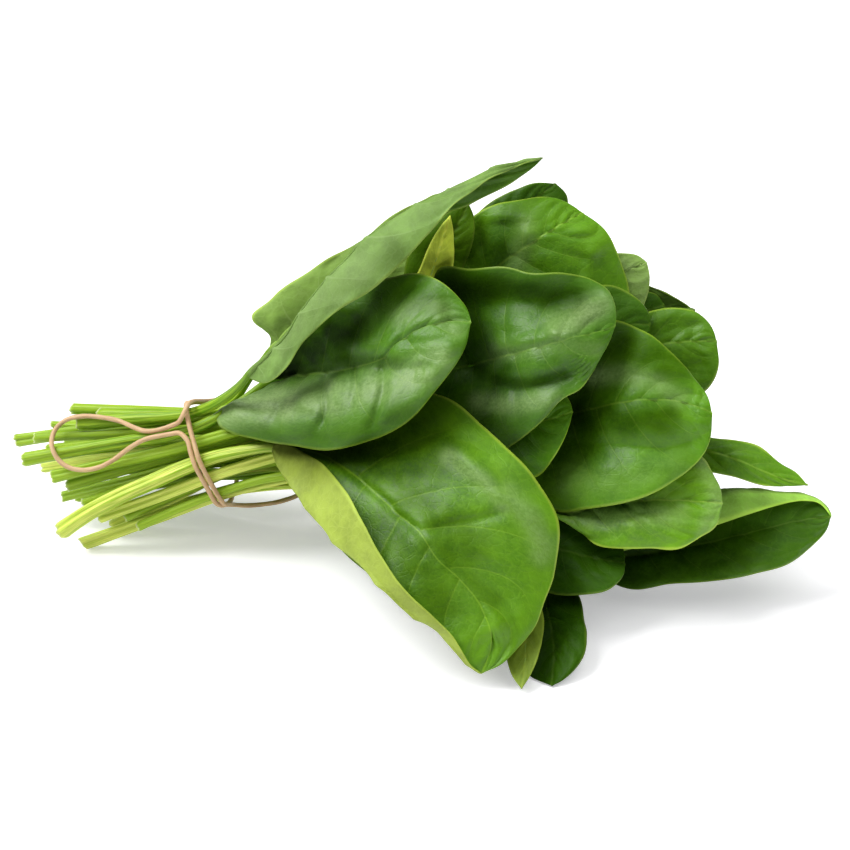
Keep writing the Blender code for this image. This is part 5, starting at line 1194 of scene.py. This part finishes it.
    # the cut face is sunk in a hollow, and the far end comes to a point
    inner1 = line[0] + 0.62 * (ring3[0] - line[0]) + T[0] * 0.25
    inner2 = line[0] + 0.30 * (ring3[0] - line[0]) + T[0] * (0.35 * rad[0] + 0.5)
    c2 = count + n1 * K
    white = np.stack([np.ones(K), np.full(K, 0.5), np.ones(K)], axis=-1)
    f0 = []
    for k in range(K):
        k2 = (k + 1) % K
        f0.append((count + k2, count + k, c2 + k, c2 + k2))
        f0.append((c2 + k2, c2 + k, c2 + K + k, c2 + K + k2))
        f0.append((c2 + K + k2, c2 + K + k, c2 + 2 * K))
    pts = np.concatenate([inner1, inner2, [line[0] + T[0] * (0.4 * rad[0] + 0.6)]])
    rest = np.tile([-gone[0], 0, number], (2 * K + 1, 1)).astype(float)
    add(pts, f0, rest, np.tile([0.5, 0, 0], (2 * K + 1, 1)).astype(float), np.concatenate([white, white, [[1, 0.5, 1]]]))
    c3 = c2 + 2 * K + 1
    last = count + (n1 - 1) * K
    f1 = [(last + k, last + (k + 1) % K, c3) for k in range(K)]
    add(line[-1:] + T[-1:] * 0.3, f1, np.array([[0.0, 0.0, number]]), np.array([[0.5, 0.0, 0.0]]), np.array([[0.3, 0.5, 0]]))
    # painted shade under other blades and along the wash lines, times painted light on a folded back margin
    shade = leaf_["shade"] * leaf_["painted_shade"] * (1 + (leaf_["flap_light"] - 1) * leaf_["over"])
    painted_tone = np.zeros((sum(len(q) for q in verts), 2))
    painted_tone[:, 0] = 1
    for k in (0, n):
        painted_tone[k:k + n, 0], painted_tone[k:k + n, 1] = shade.ravel(), leaf_["painted_light"].ravel()
    at = np.concatenate(verts) - shift
    # what comes down to the floor lies along it
    at[:, 2] = np.where(at[:, 2] < 2.0, 2.0 * np.exp((np.minimum(at[:, 2], 2.0) - 2.0) / 2.0), at[:, 2])
    return at / 1000.0, faces, np.concatenate(flat), np.concatenate(veins), np.concatenate(part), painted_tone, second


def make(name, verts, faces, attributes, mats, second=None):
    """An object from a mesh; faces from number second on wear the second
    material."""
    mesh = bpy.data.meshes.new(name)
    mesh.from_pydata(verts.tolist(), [], [tuple(int(k) for k in f) for f in faces])
    for key, values in attributes.items():
        layer = mesh.attributes.new(key, "FLOAT_VECTOR", "POINT")
        layer.data.foreach_set("vector", np.ascontiguousarray(values, np.float32).ravel())
    for mat in mats:
        mesh.materials.append(mat)
    if second is not None:
        slots = np.zeros(len(faces), np.int32)
        slots[second:] = 1
        mesh.polygons.foreach_set("material_index", slots)
    mesh.update()
    mesh.shade_smooth()
    ob = bpy.data.objects.new(name, mesh)
    bpy.context.scene.collection.objects.link(ob)
    return ob


def cord_mesh(line, radius, sides=12):
    """A round cord along a closed line: vertices, faces, and how far along and
    round it each vertex is, in millimetres."""
    n = len(line)
    T = unit(np.roll(line, -1, axis=0) - np.roll(line, 1, axis=0))
    u = unit(np.cross(T[0], [0.3, 0.2, 0.9]))
    us = [u]
    for i in range(1, n + 1):
        t = T[i % n]
        u = unit(u - t * (u @ t))
        us.append(u)
    a = math.atan2(np.cross(us[-1], us[0]) @ T[0], us[-1] @ us[0])
    far = np.concatenate([[0], np.cumsum(np.linalg.norm(np.diff(line, axis=0), axis=1))])
    verts, flat = [], []
    for i in range(n):
        w = np.cross(T[i], us[i])
        for k in range(sides):
            h = 2 * math.pi * k / sides + a * i / n
            rr = radius * (1 + 0.03 * math.sin(far[i] * 0.5) + 0.02 * math.sin(far[i] * 1.7))
            verts.append(line[i] + rr * (math.cos(h) * us[i] + math.sin(h) * w))
            flat.append((far[i], 6.0 * k / sides, 0.0))
    faces = []
    for i in range(n):
        j = (i + 1) % n
        for k in range(sides):
            m = (k + 1) % sides
            faces.append((i * sides + k, i * sides + m, j * sides + m, j * sides + k))
    return np.array(verts), faces, np.array(flat)


# ---------------------------------------------------------------- materials
class Nodes:
    """Short names for building a material's nodes."""

    def __init__(self, name):
        self.mat = bpy.data.materials.new(name)
        self.mat.use_nodes = True
        self.tree = self.mat.node_tree
        self.shader = self.tree.nodes["Principled BSDF"]

    def node(self, kind, **props):
        n = self.tree.nodes.new(kind)
        for k, v in props.items():
            setattr(n, k, v)
        return n

    def link(self, out, into):
        self.tree.links.new(out, into)

    def put(self, socket, value):
        if isinstance(value, bpy.types.NodeSocket):
            self.link(value, socket)
        elif isinstance(value, (tuple, list)) and len(value) == 3 and socket.type == "RGBA":
            socket.default_value = (*value, 1.0)
        else:
            socket.default_value = value

    def attribute(self, name):
        a = self.node("ShaderNodeAttribute", attribute_type="GEOMETRY", attribute_name=name)
        s = self.node("ShaderNodeSeparateXYZ")
        self.link(a.outputs["Vector"], s.inputs[0])
        return a.outputs["Vector"], s.outputs[0], s.outputs[1], s.outputs[2]

    def math(self, op, a, b=None, c=None):
        n = self.node("ShaderNodeMath", operation=op)
        self.put(n.inputs[0], a)
        if b is not None:
            self.put(n.inputs[1], b)
        if c is not None:
            self.put(n.inputs[2], c)
        return n.outputs[0]

    def ramp(self, x, lo, hi, a=0.0, b=1.0, smooth=True):
        n = self.node("ShaderNodeMapRange", interpolation_type="SMOOTHSTEP" if smooth else "LINEAR")
        self.put(n.inputs["Value"], x)
        for key, value in (("From Min", lo), ("From Max", hi), ("To Min", a), ("To Max", b)):
            self.put(n.inputs[key], value)
        return n.outputs["Result"]

    def mix(self, f, a, b, blend="MIX"):
        n = self.node("ShaderNodeMix", data_type="RGBA", blend_type=blend, clamp_factor=True)
        self.put(n.inputs[0], f)
        self.put(n.inputs[6], a)
        self.put(n.inputs[7], b)
        return n.outputs[2]

    def vector(self, x, y, z=0.0):
        n = self.node("ShaderNodeCombineXYZ")
        for s, v in zip(n.inputs, (x, y, z)):
            self.put(s, v)
        return n.outputs[0]

    def noise(self, vec, scale, detail=2.0, rough=0.5):
        n = self.node("ShaderNodeTexNoise", noise_dimensions="3D")
        self.put(n.inputs["Vector"], vec)
        n.inputs["Scale"].default_value = scale
        n.inputs["Detail"].default_value = detail
        n.inputs["Roughness"].default_value = rough
        return n.outputs[0]

    def voronoi(self, vec, scale, feature="DISTANCE_TO_EDGE", rand=1.0):
        n = self.node("ShaderNodeTexVoronoi", feature=feature)
        self.put(n.inputs["Vector"], vec)
        n.inputs["Scale"].default_value = scale
        n.inputs["Randomness"].default_value = rand
        return n.outputs["Distance"]


def leaf_material(name, deep, fresh, vein, under, under_vein, rim, gloss=0.45):
    """The blade: upper side and underside, their veins, and the rim."""
    M = Nodes(name)
    flat, X, Y, seed = M.attribute("flat")
    _, P, av, H = M.attribute("vein")
    _, _, below, edge = M.attribute("part")
    below = M.ramp(below, 0.45, 0.55, 0.0, 1.0, False)
    place_ = M.vector(X, Y, M.math("MULTIPLY", seed, 37.0))
    # a slow unevenness bends the nets and clouds the colour
    cloud = M.node("ShaderNodeTexNoise")
    cloud.inputs["Scale"].default_value = 0.11
    cloud.inputs["Detail"].default_value = 3.0
    cloud.inputs["Roughness"].default_value = 0.62
    M.link(place_, cloud.inputs["Vector"])
    bent = M.node("ShaderNodeVectorMath", operation="MULTIPLY_ADD")
    M.link(cloud.outputs["Color"], bent.inputs[0])
    bent.inputs[1].default_value = (5.0, 5.0, 5.0)
    M.link(place_, bent.inputs[2])
    patch = cloud.outputs[0]
    # veins: side veins at whole P, the midrib, and the net between them
    f = M.math("SUBTRACT", M.math("FRACT", M.math("ADD", P, 0.5)), 0.5)
    f = M.math("ABSOLUTE", M.math("MULTIPLY_ADD", M.math("SUBTRACT", patch, 0.5), 0.05, f))
    wide = M.math("MULTIPLY_ADD", av, -0.030, 0.044)
    side_vein = M.ramp(M.math("DIVIDE", f, wide), 0.15, 1.0, 1.0, 0.0)
    side_vein = M.math("MULTIPLY", side_vein, M.ramp(av, 0.45, 0.95, 1.0, 0.1))
    midrib = M.ramp(M.math("ABSOLUTE", Y), 0.12, M.math("MAXIMUM", M.math("MULTIPLY_ADD", X, -0.010, 0.95), 0.35), 1.0, 0.0)
    net = M.ramp(M.voronoi(bent.outputs[0], 0.30), 0.0, 0.10, 1.0, 0.0)
    speck = M.noise(place_, 1.1, 3.0, 0.68)
    # upper side
    top = M.mix(M.ramp(patch, 0.36, 0.64), deep, fresh)
    top = M.mix(M.ramp(speck, 0.38, 0.66, 0.0, 0.30), top, tuple(c * 1.55 for c in fresh))
    # painted shade: darker in the hollows between the blisters
    top = M.mix(M.ramp(H, -1.8, 1.8, 0.42, 0.0), top, tuple(c * 0.62 for c in deep))
    top = M.mix(M.ramp(av, 0.45, 1.0, 0.0, 0.38), top, tuple(c * 1.25 for c in fresh))
    # painted shade towards the blade's base and painted light towards its tip
    top = M.mix(M.ramp(P, 0.0, 3.0, 0.35, 0.0), top, deep)
    top = M.mix(M.ramp(P, 3.5, 9.0, 0.0, 0.45), top, tuple(c * 1.35 for c in fresh))
    top = M.mix(M.math("MULTIPLY", net, 0.05), top, vein)
    top = M.mix(M.math("MULTIPLY", side_vein, 0.20), top, vein)
    top = M.mix(M.math("MULTIPLY", midrib, 0.34), top, vein)
    # underside
    low = M.mix(M.ramp(patch, 0.36, 0.64), tuple(c * 0.86 for c in under), tuple(c * 1.14 for c in under))
    low = M.mix(M.ramp(speck, 0.38, 0.66, 0.0, 0.16), low, under_vein)
    low = M.mix(M.math("MULTIPLY", net, 0.20), low, under_vein)
    low = M.mix(M.math("MULTIPLY", side_vein, 0.60), low, under_vein)
    low = M.mix(M.math("MULTIPLY", midrib, 0.8), low, under_vein)
    blade = M.mix(below, top, low)
    blade = M.mix(M.ramp(edge, 0.35, 1.0, 0.0, 0.62), blade, rim)
    # painted shade and light, with the leaf's own tint, multiply the colour
    tint_and_light = M.node("ShaderNodeAttribute", attribute_type="GEOMETRY", attribute_name="tint_and_light")
    blade = M.mix(1.0, blade, tint_and_light.outputs["Color"], "MULTIPLY")
    # a painted pale sheen, strongest where the wash lines put it; the second value is the painted shade
    _, painted_light, painted_tone, _ = M.attribute("painted_light")
    painted_light = M.math("MULTIPLY", painted_light, M.ramp(speck, 0.3, 0.7, 0.72, 1.28))
    blade = M.mix(painted_light, blade, (0.30, 0.42, 0.165))
    M.link(blade, M.shader.inputs["Base Color"])
    rough = M.ramp(speck, 0.3, 0.7, gloss - 0.05, gloss + 0.09)
    rough = M.math("MULTIPLY_ADD", below, 0.14, rough)
    M.link(rough, M.shader.inputs["Roughness"])
    M.shader.inputs["Metallic"].default_value = 0.0
    M.shader.inputs["IOR"].default_value = 1.46
    # less gloss where painted shade darkens the blade
    M.link(M.ramp(painted_tone, 0.35, 1.0, 0.06, 0.44), M.shader.inputs["Specular IOR Level"])
    # bumps smaller than the mesh: the net stands in on top, out below
    h = M.math("MULTIPLY_ADD", side_vein, 0.7, M.math("MULTIPLY", net, 0.55))
    h = M.math("MULTIPLY", h, M.math("MULTIPLY_ADD", below, 2.0, -1.0))
    h = M.math("MULTIPLY_ADD", speck, 1.1, h)
    bump = M.node("ShaderNodeBump")
    bump.inputs["Strength"].default_value = 0.34
    bump.inputs["Distance"].default_value = 0.00022
    M.link(h, bump.inputs["Height"])
    M.link(bump.outputs["Normal"], M.shader.inputs["Normal"])
    return M.mat


def stalk_material(name, green, pale, blade, under_vein):
    """The stalk, streaked lengthwise and paler to its cut end, and the midrib
    it runs into."""
    M = Nodes(name)
    flat, X, Y, seed = M.attribute("flat")
    _, stalkness, below, edge = M.attribute("part")
    streak = M.noise(M.vector(M.math("MULTIPLY", X, 0.030), M.math("MULTIPLY", Y, 0.9), M.math("MULTIPLY", seed, 11.0)), 1.0, 3.0, 0.65)
    thread = M.noise(M.vector(M.math("MULTIPLY", X, 0.05), M.math("MULTIPLY", Y, 3.2), M.math("MULTIPLY", seed, 5.0)), 1.0, 2.0, 0.5)
    st = M.mix(M.ramp(streak, 0.36, 0.64), green, pale)
    st = M.mix(M.ramp(thread, 0.47, 0.66, 0.0, 0.55), st, tuple(c * 0.55 for c in green))
    st = M.mix(M.ramp(X, -100.0, -40.0, 0.55, 0.0), st, pale)
    st = M.mix(M.ramp(X, -22.0, 6.0, 0.0, 0.55), st, blade)
    st = M.mix(M.ramp(edge, 0.5, 1.0, 0.0, 0.75), st, (0.80, 0.86, 0.46))
    rib = M.mix(M.ramp(below, 0.1, 0.4), blade, under_vein)
    # painted shade and the leaf's tint darken the midrib too
    tint_and_light = M.node("ShaderNodeAttribute", attribute_type="GEOMETRY", attribute_name="tint_and_light")
    rib = M.mix(1.0, rib, tint_and_light.outputs["Color"], "MULTIPLY")
    colour = M.mix(M.ramp(stalkness, 0.27, 0.48), rib, st)
    M.link(colour, M.shader.inputs["Base Color"])
    M.link(M.ramp(thread, 0.3, 0.7, 0.34, 0.48), M.shader.inputs["Roughness"])
    M.shader.inputs["IOR"].default_value = 1.45
    M.shader.inputs["Specular IOR Level"].default_value = 0.32
    M.shader.inputs["Subsurface Weight"].default_value = 0.10
    M.shader.inputs["Subsurface Radius"].default_value = (0.7, 1.0, 0.2)
    M.shader.inputs["Subsurface Scale"].default_value = 0.0012
    bump = M.node("ShaderNodeBump")
    bump.inputs["Strength"].default_value = 0.55
    bump.inputs["Distance"].default_value = 0.00025
    M.link(M.math("MULTIPLY_ADD", thread, 0.9, M.math("MULTIPLY", streak, 0.7)), bump.inputs["Height"])
    M.link(bump.outputs["Normal"], M.shader.inputs["Normal"])
    return M.mat


def rubber_material():
    M = Nodes("rubber_tan")
    flat, X, Y, _ = M.attribute("flat")
    n = M.noise(M.vector(M.math("MULTIPLY", X, 0.12), M.math("MULTIPLY", Y, 0.4), 0.0), 1.0, 3.0, 0.6)
    c = M.mix(M.ramp(n, 0.3, 0.7), (0.52, 0.33, 0.17), (0.70, 0.48, 0.27))
    grain = M.noise(M.vector(X, Y, 0.0), 3.5, 3.0, 0.7)
    c = M.mix(M.ramp(grain, 0.45, 0.7, 0.0, 0.30), c, (0.26, 0.15, 0.06))
    M.link(c, M.shader.inputs["Base Color"])
    M.link(M.ramp(grain, 0.3, 0.7, 0.48, 0.62), M.shader.inputs["Roughness"])
    M.shader.inputs["Subsurface Weight"].default_value = 0.15
    M.shader.inputs["Subsurface Radius"].default_value = (1.0, 0.6, 0.3)
    M.shader.inputs["Subsurface Scale"].default_value = 0.001
    bump = M.node("ShaderNodeBump")
    bump.inputs["Strength"].default_value = 0.35
    bump.inputs["Distance"].default_value = 0.0001
    M.link(grain, bump.inputs["Height"])
    M.link(bump.outputs["Normal"], M.shader.inputs["Normal"])
    return M.mat


def floor_material():
    M = Nodes("floor_pale")
    tex = M.node("ShaderNodeTexCoord")
    n = M.noise(tex.outputs["Object"], 3.0, 2.0)
    M.link(M.mix(M.ramp(n, 0.3, 0.7), (0.86, 0.86, 0.86), (0.88, 0.88, 0.88)), M.shader.inputs["Base Color"])
    M.shader.inputs["Roughness"].default_value = 0.7
    M.shader.inputs["Specular IOR Level"].default_value = 0.2
    M.shader.inputs["Emission Color"].default_value = (0.96, 0.95, 1.0, 1)
    ray = M.node("ShaderNodeLightPath")
    M.link(M.ramp(ray.outputs["Is Camera Ray"], 0.0, 1.0, 0.10, 0.38, False), M.shader.inputs["Emission Strength"])
    return M.mat


# -------------------------------------------------------------------- scene
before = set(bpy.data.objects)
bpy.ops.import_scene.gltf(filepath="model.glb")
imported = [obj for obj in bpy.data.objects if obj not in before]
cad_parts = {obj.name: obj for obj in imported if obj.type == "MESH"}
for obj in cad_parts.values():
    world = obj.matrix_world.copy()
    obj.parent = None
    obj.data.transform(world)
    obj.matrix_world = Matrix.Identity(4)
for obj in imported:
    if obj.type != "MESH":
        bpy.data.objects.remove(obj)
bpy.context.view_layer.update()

items = lay_out()
turns, loop = band_path(items)
band = place(closed(np.concatenate([turns, loop]), 1.1))

# set the layout onto the CAD nodes: the offset is read from their boxes
solids = [leaf_solid(G, line, radii, ribs, L.get("under", False))[0] for (G, line, radii, ribs), L in zip(items, LEAVES)]
offsets = np.array([v.min(0) - np.array(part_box(L["name"])[0]) * 1000 for v, L in zip(solids, LEAVES)])
shift = np.median(offsets, axis=0)
if np.abs(offsets - shift).max() > 0.3:
    raise RuntimeError("the layout and the CAD nodes differ")

leaves = [fine_leaf(L, G, line, radii, k) for k, (L, (G, line, radii, ribs)) in enumerate(zip(LEAVES, items))]
fine_settle(leaves)

# linear colours: deep and fresh green of the upper side, its veins, the
# underside and its veins, and the margin's rim
DARK = leaf_material("leaf_dark", (0.030, 0.108, 0.0015), (0.060, 0.175, 0.002), (0.20, 0.36, 0.04),
                     (0.13, 0.27, 0.025), (0.22, 0.38, 0.06), (0.34, 0.52, 0.05))
FRESH = leaf_material("leaf_fresh", (0.040, 0.130, 0.0015), (0.082, 0.215, 0.002), (0.25, 0.42, 0.05),
                      (0.19, 0.34, 0.045), (0.28, 0.44, 0.09), (0.38, 0.56, 0.06))
FRONT = leaf_material("leaf_front", (0.038, 0.125, 0.001), (0.085, 0.220, 0.0015), (0.24, 0.44, 0.03),
                      (0.24, 0.33, 0.045), (0.33, 0.43, 0.09), (0.40, 0.56, 0.07), 0.46)
YOUNG = leaf_material("leaf_young", (0.10, 0.23, 0.004), (0.17, 0.32, 0.008), (0.34, 0.48, 0.06),
                      (0.22, 0.34, 0.020), (0.32, 0.44, 0.04), (0.40, 0.54, 0.06))
GREEN_STALK = stalk_material("stalk_green", (0.13, 0.30, 0.003), (0.36, 0.54, 0.03), (0.05, 0.16, 0.002), (0.20, 0.34, 0.05))
# the pale stalk is partly the stalks' own paleness and partly painted light: its pale is raised to the brightness of
# lit stalks
PALE_LIT_STALK = stalk_material("stalk_pale_lit", (0.26, 0.46, 0.008), (0.76, 0.84, 0.16), (0.07, 0.19, 0.002), (0.30, 0.42, 0.08))
FRESH_LEAVES = ("leaf_top_round", "leaf_top_folded", "leaf_top_lobed", "leaf_right_large", "leaf_right_pointed",
                "leaf_right_round", "leaf_right_folded", "leaf_right_crinkled", "leaf_right_behind", "leaf_back_middle", "leaf_back_top")
YOUNG_LEAVES = ("leaf_young_pale", "leaf_drooping_pale", "leaf_young_dark")
# the stalks that lie in the light at the bottom wear the pale stalk, partly as painted light
PALE_LIT_STALKS = ("leaf_front_large", "leaf_right_folded", "leaf_drooping_dark", "leaf_right_crinkled", "leaf_under", "leaf_behind_middle")
total = 0
for leaf_ in leaves:
    name = leaf_["L"]["name"]
    verts, faces, flat, veins, part_, painted_tone, second = leaf_mesh(leaf_, shift)
    total += len(faces)
    mat = YOUNG if name in YOUNG_LEAVES else FRONT if name == "leaf_front_large" else FRESH if name in FRESH_LEAVES else DARK
    stalk = PALE_LIT_STALK if name in PALE_LIT_STALKS else GREEN_STALK
    # each leaf's tint is partly its own green and partly painted light and shade; it is multiplied by the painted
    # shade, and the painted sheen and shade go on for the colour and the gloss
    tint_ = LOOKS.get(name, PLAIN_LOOK).get("tint_and_light", (1.0, 1.0, 1.0))
    tint_and_light = painted_tone[:, :1] * np.array(tint_)
    ob = make("fine_" + name, verts, faces, {"flat": flat, "vein": veins, "part": part_, "tint_and_light": tint_and_light, "painted_light": np.column_stack([painted_tone[:, 1], painted_tone[:, 0] * min(1.0, tint_[1]), painted_tone[:, 0]])}, [mat, stalk], second)
    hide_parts(name)
    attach(ob, "root")
print("faces", total)
verts, faces, flat = cord_mesh(band, BAND_D / 2)
ob = make("fine_rubber_band", (verts - shift) / 1000.0, faces, {"flat": flat}, [rubber_material()])
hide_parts("rubber_band")
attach(ob, "root")

bpy.context.scene.view_settings.view_transform = "Standard"

# floor
mesh = bpy.data.meshes.new("floor")
mesh.from_pydata([(-4, -4, 0), (4, -4, 0), (4, 4, 0), (-4, 4, 0)], [], [(0, 1, 2, 3)])
mesh.materials.append(floor_material())
floor = bpy.data.objects.new("floor", mesh)
bpy.context.scene.collection.objects.link(floor)
floor.location.z = -0.0002


def sun(name, towards, wide, strength, colour=(1, 1, 1)):
    """A soft light from far off, wide degrees across: it comes from towards,
    given as (left to right, up, to the viewer) at the board."""
    light = bpy.data.lights.new(name, "SUN")
    light.angle = math.radians(wide)
    light.energy = strength
    light.color = colour
    ob = bpy.data.objects.new(name, light)
    from_ = towards[0] * ACROSS + towards[1] * UP + towards[2] * BACK
    ob.rotation_euler = Vector(-from_).to_track_quat("-Z", "Y").to_euler()
    ob.location = Vector(from_)
    bpy.context.scene.collection.objects.link(ob)
    return ob


sun("key", (-0.58, 0.72, 0.34), 38, 3.4)
fill = sun("fill", (-0.35, 0.52, 0.72), 60, 0.55)
fill.visible_glossy = False
right = sun("right", (0.42, 0.78, 0.50), 55, 1.15)
right.visible_glossy = False

# a plain white room: dimmer as a light than as a backdrop
world = bpy.data.worlds.new("studio")
bpy.context.scene.world = world
world.use_nodes = True
tree = world.node_tree
back = tree.nodes["Background"]
back.inputs["Color"].default_value = (1, 1, 1, 1)
ray = tree.nodes.new("ShaderNodeLightPath")
level = tree.nodes.new("ShaderNodeMapRange")
level.inputs["To Min"].default_value = 0.15
level.inputs["To Max"].default_value = 1.0
tree.links.new(ray.outputs["Is Camera Ray"], level.inputs["Value"])
tree.links.new(level.outputs["Result"], back.inputs["Strength"])

# camera: at the layout's viewpoint, looking square at its board
camera = bpy.data.cameras.new("camera")
camera.sensor_width = 36
camera.lens = 2400 / 850 * 36
cam = bpy.data.objects.new("camera", camera)
bpy.context.scene.collection.objects.link(cam)
centre = BOARD - shift
cam.location = Vector((centre + VIEW * BACK) / 1000.0)
cam.rotation_euler = Matrix(np.array([ACROSS, UP, BACK]).T.tolist()).to_euler()
bpy.context.scene.camera = cam
